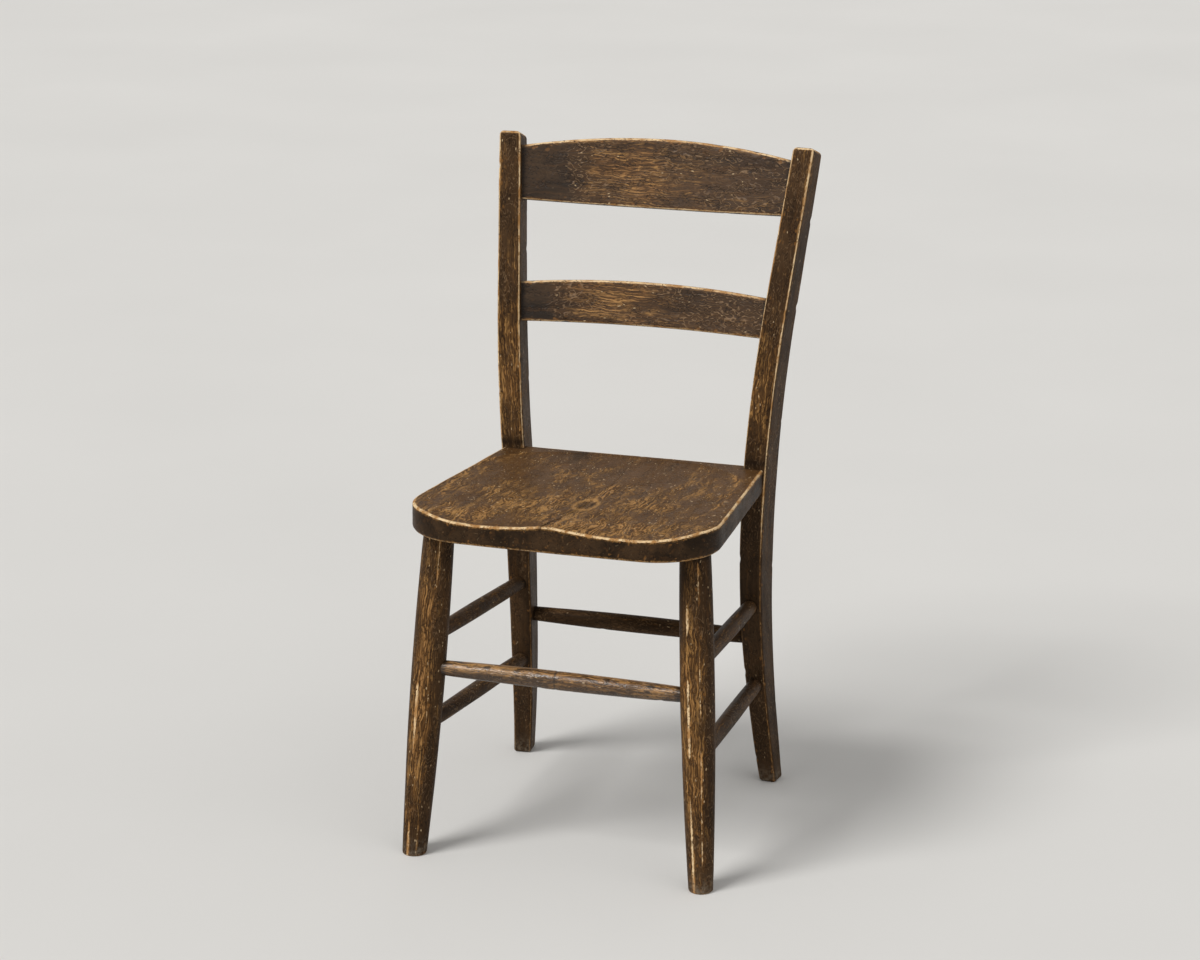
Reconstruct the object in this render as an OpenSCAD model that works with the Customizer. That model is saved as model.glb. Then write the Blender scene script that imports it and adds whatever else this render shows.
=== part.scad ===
// A small wooden kitchen chair: a solid saddled seat, two sawn back posts that run down
// into the rear legs, two bowed back rails, two turned front legs and six turned stretchers.
// X is across, Y runs to the back and Z is up. The origin is on the floor, under the middle.

/* [Seat] */
// Height of the seat's top at its front edge
seat_h = 450; // [400:1:500]
// Thickness of the seat board
seat_t = 33.5; // [28:0.5:42]
// Width of the seat across its square front corners
seat_w_front = 396; // [340:1:450]
// Width of the seat along its rear edge
seat_w_back = 342; // [300:1:400]
// Depth of the seat from its front edge to its rear edge
seat_d = 357; // [310:1:410]
// Radius of the seat's front corners
seat_corner_r = 81; // [40:1:100]
// How far the front edge bows forward at its middle
seat_bow = 5; // [3:0.5:12]
// How much lower the seat's top is at the rear edge
seat_fall = 9; // [0:0.5:16]
// Bevel round the seat's lower edge
seat_bevel = 6; // [2:0.5:9]
// Softened upper edge of the seat
seat_arris = 1.6; // [0.5:0.1:3]
// Depth of the broad hollow worked into the seat
dish_depth = 4.5; // [1:0.5:8]
// Radius of the broad hollow at the seat's surface
dish_r = 170; // [120:1:176]
// Depth of the two leg troughs at the front edge
trough_depth = 6.5; // [1:0.5:9]
// Distance from the middle to the bottom of a leg trough
trough_x = 84; // [60:1:95]
// Length of the split that runs back from the front edge
split_len = 300; // [60:1:305]
// Width of the split at the front edge
split_w = 1.2; // [0.6:0.1:2.5]

/* [Back posts] */
// Height of the posts' front top edge
chair_h = 837; // [740:1:940]
// How far the posts' front faces stand inside the seat's rear edge
post_let_in = 14.5; // [8:0.5:24]
// How far the posts stand proud of the seat's sides
post_proud = 4.7; // [1:0.1:9]
// Angle by which each post's front face turns towards the middle
post_toe = 5.5; // [0:0.5:8]
// Widest part of a post, across
post_w = 30.5; // [26:0.5:38]
// Width of a post at its top
post_w_top = 28; // [20:0.1:30]
// Width of a post at its foot
post_w_foot = 23.5; // [20:0.1:30]
// Deepest part of a post, front to rear
post_d = 47; // [38:0.5:52]
// Depth of a post at its top
post_d_top = 38; // [28:0.5:40]
// Depth of a post at its foot
post_d_foot = 29; // [22:0.5:36]
// Angle that the upper posts lean back
rake_angle = 17; // [8:0.5:20]
// Angle that the rear legs kick back
kick_angle = 12; // [4:0.5:15]
// How far each post spreads sideways by its top, in its own plane
splay_top = 23.5; // [10:0.5:35]
// How far each post spreads sideways by its foot, in its own plane
splay_foot = 3.3; // [0:0.1:12]
// Softened long edges of the posts
post_arris = 3; // [1:0.5:5]

/* [Back rails] */
// Thickness of both back rails
rail_t = 15; // [11:0.5:17]
// How far the rails' front faces sit behind the posts' front faces
rail_setback = 11; // [7:0.5:14]
// How far the rails bow back at their middle
rail_bow = 20; // [10:0.5:30]
// Depth that each rail end is let into its post
rail_housing = 20; // [14:0.5:21]
// Lean of the crest rail
crest_lean = 16.5; // [8:0.5:20]
// Distance from the posts' top to the crest rail's upper corners
crest_drop = 18.5; // [8:0.5:40]
// Height of the crest rail at its ends
crest_h = 69.5; // [50:0.5:84]
// Rise of the crest rail's upper edge at its middle
crest_arch = 19.5; // [8:0.5:24]
// Rise of the crest rail's lower edge at its middle
crest_lift = 0.5; // [0.5:0.5:8]
// Lean of the middle rail
mid_lean = 15; // [8:0.5:20]
// Height of the middle rail's centre above the floor
mid_z = 627; // [590:1:650]
// Height of the middle rail at its ends
mid_h = 51; // [36:0.5:64]
// Rise of the middle rail's upper edge at its middle
mid_arch = 10; // [4:0.5:14]
// Rise of the middle rail's lower edge at its middle
mid_lift = 5; // [1:0.5:8]
// Diameter of the pegs through the rail ends
peg_d = 4.6; // [3:0.1:6]
// Length of the pegs
peg_l = 29; // [27:0.5:31]
// Distance between the two pegs in each end of the crest rail
peg_spacing = 22.5; // [14:0.5:30]

/* [Front legs] */
// Distance from the middle to a front foot's centre
leg_foot_x = 184.5; // [160:0.5:200]
// Distance from the seat's front edge back to a front foot's centre
leg_foot_y = 37.5; // [20:0.5:60]
// Distance from the middle to a front leg's centre under the seat
leg_top_x = 161; // [130:0.5:165]
// Distance from the seat's front edge back to a front leg's centre under the seat
leg_top_y = 79; // [60:0.5:100]
// Diameter of a front leg at its foot
leg_d_foot = 30; // [24:0.5:36]
// Largest diameter of a front leg
leg_d = 42; // [34:0.5:48]
// Diameter of a front leg under the seat
leg_d_top = 37; // [30:0.5:42]
// Diameter of the round tenon on a front leg
tenon_d = 25; // [20:0.5:28]
// Length of the round tenon on a front leg
tenon_l = 22; // [16:0.5:23]

/* [Stretchers] */
// Height of the front stretcher
front_str_z = 238; // [200:1:250]
// Height of the rear stretcher
rear_str_z = 206; // [190:1:215]
// Height of the upper side stretchers at the front legs
upper_str_front_z = 275; // [265:1:300]
// Height of the upper side stretchers at the rear legs
upper_str_rear_z = 256; // [240:1:285]
// Height of the lower side stretchers at the front legs
lower_str_front_z = 163; // [120:1:175]
// Height of the lower side stretchers at the rear legs
lower_str_rear_z = 144; // [110:1:160]
// Diameter of every stretcher's ends
str_d_end = 18.6; // [14:0.1:20]
// Diameter of the front and rear stretchers at their middle
str_d_mid = 23; // [18:0.1:26]
// Diameter of the side stretchers at their middle
side_str_d_mid = 20.6; // [16:0.1:24]
// Depth that a stretcher's end goes into a rear leg
str_housing = 16; // [10:0.5:18]

/* [Screws] */
// Shank diameter of the screws that hold the posts to the seat
screw_d = 5; // [4:0.5:6]
// Head diameter of those screws
screw_head_d = 10; // [8:0.5:12]
// Length of screw inside the seat
screw_grip = 34; // [20:1:45]

/* [Fits] */
// Gap between two pieces wherever they meet
gap = 0.1; // [0.05:0.05:0.3]

/* [Hidden] */

right = 1;
left = -1;
paint = [0.24, 0.17, 0.12];
paint_light = [0.30, 0.21, 0.14];
worn = [0.42, 0.28, 0.17];
steel = [0.35, 0.34, 0.33];
round_fn = 64;
large_fn = 360;

// Heights where a post is upright, and where its upper curve runs out into a straight lean
post_lower_z = seat_h - 70;
post_upper_z = seat_h - 15;
post_curve_up = 205;
post_curve_down = 230;
post_widest_z = post_lower_z;
post_steps = 30;
// Short bevels at both ends of a post
post_top_bevel = 3.5;
foot_bevel = 2;

// Where the posts meet the seat
seat_pitch = atan(seat_fall / seat_d);
seat_side_run = (seat_w_front - seat_w_back) / 2;
post_back_v = seat_d - post_let_in;
post_seat_half = seat_w_back / 2 + seat_side_run * post_let_in / (seat_d - seat_bow);
post_x = post_seat_half + post_proud - post_w / 2;

// The chair's whole depth sets where the seat's front edge lies, so that the origin is
// under the middle of the chair. The crest rail or the posts' tops reach farthest back.
crest_z = chair_h - crest_drop - crest_h / 2 * cos(crest_lean);
post_reach = (yf(chair_h) + post_d_top) * cos(post_toe)
    - (cx(chair_h) - post_w_top / 2 + post_arris) * sin(post_toe);
crest_reach = (yf(crest_z) + rail_setback) * cos(post_toe) - cx(crest_z) * sin(post_toe)
    + (crest_h / 2 + crest_arch) * sin(crest_lean) + (rail_bow + rail_t) * cos(crest_lean);
seat_front_y = -(post_back_v + max(post_reach, crest_reach)) / 2;
post_y = seat_front_y + post_back_v;
leg_axis_foot = [leg_foot_x, seat_front_y + leg_foot_y, 0];
leg_axis_top = [leg_top_x, seat_front_y + leg_top_y, seat_h - seat_t];

// ---------------------------------------------------------------- back posts

// How far a post's face has moved back at a distance s along a curve that ends in a
// straight run of the given angle
function sweep(s, curve, angle) =
    s <= 0 ? 0
    : s < curve ? curve / sin(angle) * (1 - sqrt(1 - pow(s * sin(angle) / curve, 2)))
    : curve * tan(angle / 2) + (s - curve) * tan(angle);

// Front face of a post, measured back from where it meets the seat
function yf(z) = z > post_upper_z ? sweep(z - post_upper_z, post_curve_up, rake_angle)
    : sweep(post_lower_z - z, post_curve_down, kick_angle);

// A size that is greatest at one height and falls smoothly to both ends
function taper(z, most, foot, top) =
    z < post_widest_z ? most - (most - foot) * pow(1 - z / post_widest_z, 1.8)
    : most - (most - top) * pow(min(1, (z - post_widest_z) / (chair_h - post_widest_z)), 1.8);

function pw(z) = taper(z, post_w, post_w_foot, post_w_top);
function pd(z) = taper(z, post_d, post_d_foot, post_d_top);

// Sideways middle of a post: a straight lean above the seat and a bend below it
function lean(z) = splay_top * (z - seat_h) / (chair_h - seat_h);
function cx(z) = z >= seat_h ? lean(z)
    : lean(z) + (splay_foot - lean(0)) * pow(1 - z / seat_h, 2);

// The outline of a post seen along one direction: its middle m(z) and its half size h(z)
// are read at even heights from the foot to the top
post_zs = [for (i = [0 : post_steps]) chair_h * i / post_steps];

module profile(mids, halves, top_slope, end_bevel) {
    n = len(post_zs) - 1;
    low = [for (i = [1 : n - 1]) [mids[i] - halves[i], post_zs[i]]];
    high = [for (i = [n - 1 : -1 : 1]) [mids[i] + halves[i], post_zs[i]]];
    a = mids[n] - halves[n];
    b = mids[n] + halves[n];
    fall = (b - a) * tan(top_slope);
    polygon(concat(
        [[mids[0] - halves[0] + foot_bevel, 0], [mids[0] - halves[0], foot_bevel]],
        low,
        [[a, chair_h - end_bevel], [a + end_bevel, chair_h]],
        [[b - end_bevel, chair_h - fall], [b, chair_h - fall - end_bevel]],
        [for (p = high) if (p[1] < chair_h - fall - 2 * end_bevel) p],
        [[mids[0] + halves[0], foot_bevel], [mids[0] + halves[0] - foot_bevel, 0]]));
}

// A right-hand post in its own frame: x across its face, y to the back. It is bounded by
// its side view, its front view and two views along its corners, which take the edges off.
module post_blank(grow = 0) {
    far = 400;
    hw = [for (z = post_zs) pw(z) / 2 + grow];
    hd = [for (z = post_zs) pd(z) / 2 + grow];
    mx = [for (z = post_zs) cx(z)];
    my = [for (z = post_zs) yf(z) + pd(z) / 2];
    hc = [for (i = [0 : post_steps]) (hw[i] + hd[i] - post_arris) / sqrt(2)];
    intersection() {
        rotate([90, 0, 90]) translate([0, 0, -far / 2])
            linear_extrude(far) profile(my, hd, rake_angle, post_top_bevel);
        rotate([90, 0, 0]) translate([0, 0, -far / 2])
            linear_extrude(far) profile(mx, hw, 0, post_top_bevel);
        rotate([90, 0, 45]) translate([0, 0, -far / 2])
            linear_extrude(far) profile((mx + my) / sqrt(2), hc, 0, 0);
        rotate([90, 0, -45]) translate([0, 0, -far / 2])
            linear_extrude(far) profile((mx - my) / sqrt(2), hc, 0, 0);
    }
}

// Puts what is drawn in a right-hand post's frame into place, on either side
module at_post(side) {
    mirror([side == left ? 1 : 0, 0, 0]) translate([post_x, post_y, 0])
        rotate([0, 0, -post_toe]) children();
}

// The same move for a point of a right-hand post
function post_point(p) = [
    post_x + p[0] * cos(post_toe) + p[1] * sin(post_toe),
    post_y - p[0] * sin(post_toe) + p[1] * cos(post_toe),
    p[2]];

module back_post(side) {
    color(paint) difference() {
        at_post(side) post_blank();
        crest_blank(gap);
        mid_blank(gap);
        for (z = crest_peg_zs) peg_solid(side, z, crest_lean, gap);
        peg_solid(side, mid_z, mid_lean, gap);
        side_stretcher_solid(side, upper_ends, gap);
        side_stretcher_solid(side, lower_ends, gap);
        rear_stretcher_solid(gap);
        screw_solid(side, gap);
    }
}

// ---------------------------------------------------------------- back rails

// Half the distance between the posts' inner faces at a height, where the rails stand
function rail_half(z) =
    post_point([cx(z) - pw(z) / 2, yf(z) + rail_setback + rail_t / 2, z])[0];

// Y of a rail's front face at its ends
function rail_end_y(z) = post_point([cx(z), yf(z) + rail_setback, z])[1];

// A rail's front view. Its upper edge is arched and its lower edge a little, each a parabola
// that passes through the corners where the rail meets the posts
module rail_front(half, height, arch, lift, grow) {
    steps = 24;
    reach = half + rail_housing + 10;
    xs = [for (i = [0 : steps]) reach * (2 * i / steps - 1)];
    function bend(x) = 1 - pow(x / half, 2);
    polygon(concat(
        [for (x = xs) [x, -height / 2 + lift * bend(x) - grow]],
        [for (i = [steps : -1 : 0]) [xs[i], height / 2 + arch * bend(xs[i]) + grow]]));
}

// A rail in place: a slice of a ring, cut to its front view, with ends slanted as the
// posts are
module rail_blank(z, lean, height, arch, lift, grow) {
    dz = height / 2 * cos(lean);
    half = rail_half(z);
    bow_r = (half * half + rail_bow * rail_bow) / (2 * rail_bow);
    end_low = rail_half(z - dz) + rail_housing + grow;
    end_high = rail_half(z + dz) + rail_housing + grow;
    slope = (end_high - end_low) / height;
    tall = height;
    deep = 2 * (rail_bow + rail_t);
    translate([0, rail_end_y(z), z]) rotate([-lean, 0, 0]) intersection() {
        translate([0, -bow_r + rail_bow, -tall]) linear_extrude(2 * tall) difference() {
            circle(bow_r + rail_t + grow, $fn = large_fn);
            circle(bow_r - grow, $fn = large_fn);
        }
        rotate([90, 0, 0]) translate([0, 0, -deep]) linear_extrude(2 * deep) intersection() {
            rail_front(half, height, arch, lift, grow);
            polygon([
                [-end_low + slope * tall / 2, -tall], [end_low - slope * tall / 2, -tall],
                [end_high + slope * tall / 2, tall], [-end_high - slope * tall / 2, tall]]);
        }
    }
}

crest_peg_zs = [crest_z + peg_spacing / 2, crest_z - peg_spacing / 2];

module crest_blank(grow = 0) {
    rail_blank(crest_z, crest_lean, crest_h, crest_arch, crest_lift, grow);
}

module mid_blank(grow = 0) {
    rail_blank(mid_z, mid_lean, mid_h, mid_arch, mid_lift, grow);
}

module crest_rail() {
    color(paint_light) difference() {
        crest_blank();
        for (side = [left, right], z = crest_peg_zs) peg_solid(side, z, crest_lean, gap);
    }
}

module mid_rail() {
    color(paint_light) difference() {
        mid_blank();
        for (side = [left, right]) peg_solid(side, mid_z, mid_lean, gap);
    }
}

// A peg driven square to a post's front face, flush with it
module peg_solid(side, z, lean, grow = 0) {
    at_post(side) translate([cx(z), yf(z), z]) rotate([-90 - lean, 0, 0])
        translate([0, 0, grow > 0 ? -peg_l / 2 : 0])
        cylinder(h = peg_l + (grow > 0 ? peg_l / 2 + grow : 0), d = peg_d + 2 * grow,
            $fn = round_fn);
}

module peg(side, z, lean) {
    color(worn) intersection() {
        peg_solid(side, z, lean);
        at_post(side) post_blank();
    }
}

// ---------------------------------------------------------------- seat

// The seat's outline is drawn with its front edge at y = 0. Its sides are straight, its
// front edge is part of a large circle, and an arc joins them at each corner.
front_r = (pow(seat_w_front / 2, 2) + pow(seat_bow, 2)) / (2 * seat_bow);
side_a = [seat_w_back / 2, seat_d];
side_b = [seat_w_front / 2, seat_bow];
side_dir = (side_a - side_b) / norm(side_a - side_b);
side_in = [-side_dir[1], side_dir[0]];
corner_from = side_b + side_in * seat_corner_r - [0, front_r];
corner_b = side_dir * corner_from;
corner_c = corner_from * corner_from - pow(front_r - seat_corner_r, 2);
corner_mid = corner_from + [0, front_r] - side_dir * (corner_b + sqrt(corner_b * corner_b - corner_c));
corner_start = atan2(-side_in[1], -side_in[0]);
corner_end = atan2(corner_mid[1] - front_r, corner_mid[0]);
corner_steps = 18;
front_steps = 6;

function seat_half(y, inset) = side_b[0]
    + (y - side_b[1]) * side_dir[0] / side_dir[1] + inset * side_in[0] / side_dir[1];

function seat_right(inset) = concat(
    [[seat_half(seat_d - inset, inset), seat_d - inset]],
    [for (i = [0 : corner_steps])
        let (a = corner_start + (corner_end - corner_start) * i / corner_steps)
        corner_mid + (seat_corner_r - inset) * [cos(a), sin(a)]],
    [for (i = [1 : front_steps])
        let (a = corner_end + (-90 - corner_end) * i / front_steps)
        [0, front_r] + (front_r - inset) * [cos(a), sin(a)]]);

function seat_outline(inset) = let (r = seat_right(inset), n = len(r) - 1)
    concat(r, [for (i = [n - 1 : -1 : 0]) [-r[i][0], r[i][1]]]);

module seat_slab(low, high, inset) {
    translate([0, 0, low]) linear_extrude(high - low) polygon(seat_outline(inset));
}

// The board with its lower edge bevelled and its upper edge softened
module seat_blank() {
    hull() {
        seat_slab(-seat_t, -seat_t + seat_bevel / 2, seat_bevel);
        seat_slab(-seat_t + seat_bevel, -seat_arris, 0);
        seat_slab(-seat_arris / 2, 0, seat_arris);
    }
}

// Puts what is drawn in the seat's own frame into place. There the top is z = 0.
module at_seat() {
    translate([0, seat_front_y, seat_h]) rotate([-seat_pitch, 0, 0]) children();
}

// The split wanders back along the grain and narrows to nothing
split_path = [[-5, 0], [-2, 14], [3, 60], [11, 125], [12, 220], [7, 300]] * (split_len / 300);

module split_cut() {
    n = len(split_path) - 1;
    half = [for (i = [0 : n]) split_w / 2 * (1 - i / n) + 0.05];
    left_edge = [for (i = [0 : n]) split_path[i] - [half[i], 0]];
    right_edge = [for (i = [n : -1 : 0]) split_path[i] + [half[i], 0]];
    translate([0, 0, -seat_t - 1]) linear_extrude(seat_t + 2)
        polygon(concat([left_edge[0] - [0, 2]], left_edge, right_edge,
            [right_edge[n] - [0, 2]]));
}

module saddle_cut() {
    bowl_r = (dish_r * dish_r + dish_depth * dish_depth) / (2 * dish_depth);
    translate([0, seat_d * 0.56, bowl_r - dish_depth]) sphere(bowl_r, $fn = large_fn);
    trough_r = (pow(trough_x - 8, 2) + pow(trough_depth, 2)) / (2 * trough_depth);
    trough_run = seat_d * 0.6;
    for (side = [left, right]) translate([side * trough_x, 0, trough_r - trough_depth])
        rotate([-90 + atan(trough_depth / trough_run), 0, 0]) translate([0, 0, -40])
        cylinder(h = seat_d, r = trough_r, $fn = large_fn);
}

module seat() {
    color(worn) difference() {
        at_seat() difference() {
            seat_blank();
            saddle_cut();
            split_cut();
        }
        for (side = [left, right]) {
            at_post(side) post_blank(gap);
            tenon_solid(side, gap);
            screw_solid(side, gap);
        }
    }
}

// ---------------------------------------------------------------- round pieces

// Draws children along the line from one point to another, from its start
module along(from, to) {
    d = to - from;
    translate(from) rotate([0, acos(d[2] / norm(d)), atan2(d[1], d[0])]) children();
}

function mix(a, b, t) = a + (b - a) * t;
function mirrored(p, side) = [side * p[0], p[1], p[2]];

// A point on a front leg's axis at a height
function leg_point(z) = mix(leg_axis_foot, leg_axis_top, z / leg_axis_top[2]);

leg_len = norm(leg_axis_top - leg_axis_foot);
leg_widest = 0.57;
leg_steps = 20;
// Length turned beyond each end of a leg, before the ends are cut to the floor and the seat
leg_spare = 6;

function leg_r(t) = t < leg_widest
    ? leg_d / 2 - (leg_d - leg_d_foot) / 2 * pow(1 - t / leg_widest, 1.7)
    : leg_d / 2 - (leg_d - leg_d_top) / 2 * pow((t - leg_widest) / (1 - leg_widest), 2);

// The turning starts on the side away from the stretchers' sockets
module leg_turning() {
    rotate([0, 0, 180]) rotate_extrude($fn = round_fn) polygon(concat(
        [[0, -leg_spare], [leg_r(0) - foot_bevel, -leg_spare]],
        [[leg_r(0) - foot_bevel, 0], [leg_r(0), foot_bevel]],
        [for (i = [1 : leg_steps]) [leg_r(i / leg_steps), leg_len * i / leg_steps]],
        [[leg_r(1), leg_len + leg_spare], [0, leg_len + leg_spare]]));
}

// The round tenon on top of a front leg, which goes up into the seat
module tenon_solid(side, grow = 0) {
    from = mirrored(leg_axis_foot, side);
    to = mirrored(leg_axis_top, side);
    along(from, to) translate([0, 0, leg_len - leg_spare])
        cylinder(h = leg_spare + tenon_l + grow, d = tenon_d + 2 * grow, $fn = round_fn);
}

module front_leg(side) {
    from = mirrored(leg_axis_foot, side);
    to = mirrored(leg_axis_top, side);
    big = 3 * leg_d;
    color(paint) difference() {
        union() {
            difference() {
                along(from, to) leg_turning();
                at_seat() translate([-seat_w_front, -big, -seat_t - gap])
                    cube([2 * seat_w_front, seat_d + big, big]);
            }
            tenon_solid(side);
        }
        translate([from[0] - big / 2, from[1] - big / 2, -big]) cube(big);
        side_stretcher_solid(side, upper_ends, gap);
        side_stretcher_solid(side, lower_ends, gap);
        front_stretcher_solid(gap);
    }
}

// A stretcher from one end to the other: straight where it is housed, swelling between
module stretcher_solid(from, to, d_mid, bury_from, bury_to, grow = 0) {
    len = norm(to - from);
    free = len - bury_from - bury_to;
    steps = 16;
    along(from, to) rotate_extrude($fn = round_fn) polygon(concat(
        [[0, -grow], [str_d_end / 2 + grow, -grow]],
        [for (i = [0 : steps])
            let (t = i / steps)
            [mix(str_d_end, d_mid, 1 - pow(2 * t - 1, 2)) / 2 + grow, bury_from + free * t]],
        [[str_d_end / 2 + grow, len + grow], [0, len + grow]]));
}

// A stretcher's end stops this far short of a front leg's axis
leg_stop = 2;

// Ends of the front stretcher, on the front legs' axes less the stop
front_end = leg_point(front_str_z) - [leg_stop, 0, 0];

module front_stretcher_solid(grow = 0) {
    bury = leg_d / 2 - leg_stop;
    stretcher_solid(mirrored(front_end, left), front_end, str_d_mid, bury, bury, grow);
}

// Ends of the rear stretcher, let into the rear legs' inner faces
rear_end = post_point([cx(rear_str_z) - pw(rear_str_z) / 2 + str_housing,
    yf(rear_str_z) + pd(rear_str_z) / 2, rear_str_z]);

module rear_stretcher_solid(grow = 0) {
    stretcher_solid(mirrored(rear_end, left), rear_end, str_d_mid, str_housing, str_housing, grow);
}

// Ends of a right-hand side stretcher: a front leg's axis and a rear leg's front face
function side_ends(z_front, z_rear) = let (
    a = leg_point(z_front),
    b = post_point([cx(z_rear), yf(z_rear), z_rear]),
    u = (b - a) / norm(b - a))
    [a + u * leg_stop, b + u * str_housing];

upper_ends = side_ends(upper_str_front_z, upper_str_rear_z);
lower_ends = side_ends(lower_str_front_z, lower_str_rear_z);

module side_stretcher_solid(side, ends, grow = 0) {
    stretcher_solid(mirrored(ends[0], side), mirrored(ends[1], side), side_str_d_mid,
        leg_d / 2 - leg_stop, str_housing, grow);
}

// ---------------------------------------------------------------- screws

// A slotted countersunk screw goes in from each post's back, at half the seat's thickness
screw_z = seat_h - seat_fall * post_back_v / seat_d - seat_t / 2;
screw_back = yf(screw_z) + pd(screw_z);
screw_slot_w = 1.2;
screw_slot_d = 1.4;

module screw_solid(side, grow = 0) {
    sink = grow > 0 ? 8 : 0;
    cone = (screw_head_d - screw_d) / 2;
    at_post(side) translate([cx(screw_z), screw_back, screw_z]) rotate([90, 0, 0])
        rotate_extrude($fn = round_fn) polygon([
            [0, -sink], [screw_head_d / 2 + grow, -sink], [screw_head_d / 2 + grow, 0.6],
            [screw_d / 2 + grow, 0.6 + cone],
            [screw_d / 2 + grow, screw_back - yf(screw_z) + screw_grip - 6],
            [0.8 + grow, screw_back - yf(screw_z) + screw_grip + grow],
            [0, screw_back - yf(screw_z) + screw_grip + grow]]);
}

module seat_screw(side) {
    color(steel) difference() {
        screw_solid(side);
        at_post(side) translate([cx(screw_z), screw_back, screw_z])
            cube([2 * screw_head_d, 2 * screw_slot_d, screw_slot_w], center = true);
    }
}

// ---------------------------------------------------------------- the pieces

seat();
back_post(left);  // back_post_left
back_post(right);  // back_post_right
crest_rail();
mid_rail();
front_leg(left);  // front_leg_left
front_leg(right);  // front_leg_right
color(worn) front_stretcher_solid();  // front_stretcher
color(paint) rear_stretcher_solid();  // rear_stretcher
color(paint)  // side_stretcher_left_upper
    side_stretcher_solid(left, upper_ends);
color(paint)  // side_stretcher_left_lower
    side_stretcher_solid(left, lower_ends);
color(paint)  // side_stretcher_right_upper
    side_stretcher_solid(right, upper_ends);
color(paint)  // side_stretcher_right_lower
    side_stretcher_solid(right, lower_ends);
peg(left, crest_peg_zs[0], crest_lean);  // crest_peg_left_upper
peg(left, crest_peg_zs[1], crest_lean);  // crest_peg_left_lower
peg(right, crest_peg_zs[0], crest_lean);  // crest_peg_right_upper
peg(right, crest_peg_zs[1], crest_lean);  // crest_peg_right_lower
peg(left, mid_z, mid_lean);  // mid_peg_left
peg(right, mid_z, mid_lean);  // mid_peg_right
seat_screw(left);  // seat_screw_left
seat_screw(right);  // seat_screw_right
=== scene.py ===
"""Looks of the worn wooden kitchen chair: detailed pieces and procedural materials around
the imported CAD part, a pale floor, soft light and a camera."""

import math

import bpy
import numpy as np
from mathutils import Matrix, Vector
from numpy.linalg import norm


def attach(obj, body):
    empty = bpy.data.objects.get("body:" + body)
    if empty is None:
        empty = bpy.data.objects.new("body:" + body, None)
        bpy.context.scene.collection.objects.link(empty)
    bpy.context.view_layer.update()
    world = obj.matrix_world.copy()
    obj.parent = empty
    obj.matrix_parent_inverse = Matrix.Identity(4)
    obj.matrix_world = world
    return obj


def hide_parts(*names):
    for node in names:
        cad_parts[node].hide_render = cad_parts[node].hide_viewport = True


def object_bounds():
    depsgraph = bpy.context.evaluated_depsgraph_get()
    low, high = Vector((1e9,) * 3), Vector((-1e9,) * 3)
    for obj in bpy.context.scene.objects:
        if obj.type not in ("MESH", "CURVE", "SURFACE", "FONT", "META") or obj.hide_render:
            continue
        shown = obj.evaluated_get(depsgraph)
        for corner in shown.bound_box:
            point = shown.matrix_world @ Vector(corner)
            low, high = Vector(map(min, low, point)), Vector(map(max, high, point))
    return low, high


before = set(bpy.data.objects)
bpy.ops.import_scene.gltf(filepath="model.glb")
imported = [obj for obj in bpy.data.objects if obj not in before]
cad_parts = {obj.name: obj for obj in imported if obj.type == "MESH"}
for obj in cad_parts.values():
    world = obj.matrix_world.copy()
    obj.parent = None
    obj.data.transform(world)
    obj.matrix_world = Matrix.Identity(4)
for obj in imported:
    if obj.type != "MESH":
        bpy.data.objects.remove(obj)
cad_box = [list(corner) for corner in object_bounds()]

MM = 0.001

# ---------- sizes, in millimetres

SEAT_H, SEAT_T, SEAT_D = 450.0, 33.5, 357.0
SEAT_W_FRONT, SEAT_W_BACK = 396.0, 342.0
SEAT_CORNER_R, SEAT_BOW, SEAT_FALL = 81.0, 5.0, 9.0
SEAT_PITCH = math.atan(SEAT_FALL / SEAT_D)
# The origin is midway between the seat's front edge and the chair's rearmost point
SEAT_FRONT_Y = -cad_box[1][1] / MM

CHAIR_H = cad_box[1][2] / MM
POST_LET_IN, POST_PROUD, POST_TOE = 14.5, 4.7, math.radians(5.5)
POST_W, POST_W_TOP, POST_W_FOOT = 30.5, 28.0, 23.5
POST_D, POST_D_TOP, POST_D_FOOT = 47.0, 38.0, 29.0
RAKE, KICK = math.radians(17.0), math.radians(12.0)
SPLAY_TOP, SPLAY_FOOT = 23.5, 3.3
POST_LOWER_Z, POST_UPPER_Z = SEAT_H - 70, SEAT_H - 15
POST_CURVE_UP, POST_CURVE_DOWN = 205.0, 230.0
SEAT_HALF_AT_POST = (SEAT_W_BACK + (SEAT_W_FRONT - SEAT_W_BACK) * POST_LET_IN
                     / (SEAT_D - SEAT_BOW)) / 2
POST_X = SEAT_HALF_AT_POST + POST_PROUD - POST_W / 2
POST_Y = SEAT_FRONT_Y + SEAT_D - POST_LET_IN

RAIL_T, RAIL_SETBACK, RAIL_BOW = 15.0, 11.0, 20.0
CREST_H, CREST_ARCH, CREST_LIFT, CREST_LEAN = 69.5, 19.5, 0.5, math.radians(16.5)
CREST_Z = CHAIR_H - 18.5 - CREST_H / 2 * math.cos(CREST_LEAN)
MID_H, MID_ARCH, MID_LIFT, MID_LEAN, MID_Z = 51.0, 10.0, 5.0, math.radians(15.0), 627.0
PEG_D, PEG_SPACING = 4.6, 22.5

LEG_FOOT = np.array([184.5, SEAT_FRONT_Y + 37.5, 0.0])
LEG_TOP = np.array([161.0, SEAT_FRONT_Y + 79.0, SEAT_H - SEAT_T])
LEG_D_FOOT, LEG_D, LEG_D_TOP, LEG_WIDEST = 30.0, 42.0, 37.0, 0.57
# A leg's visible wood ends this high, a little inside the seat
LEG_END_Z = LEG_TOP[2] + 7.5

FRONT_STR_Z, REAR_STR_Z = 238.0, 206.0
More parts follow.
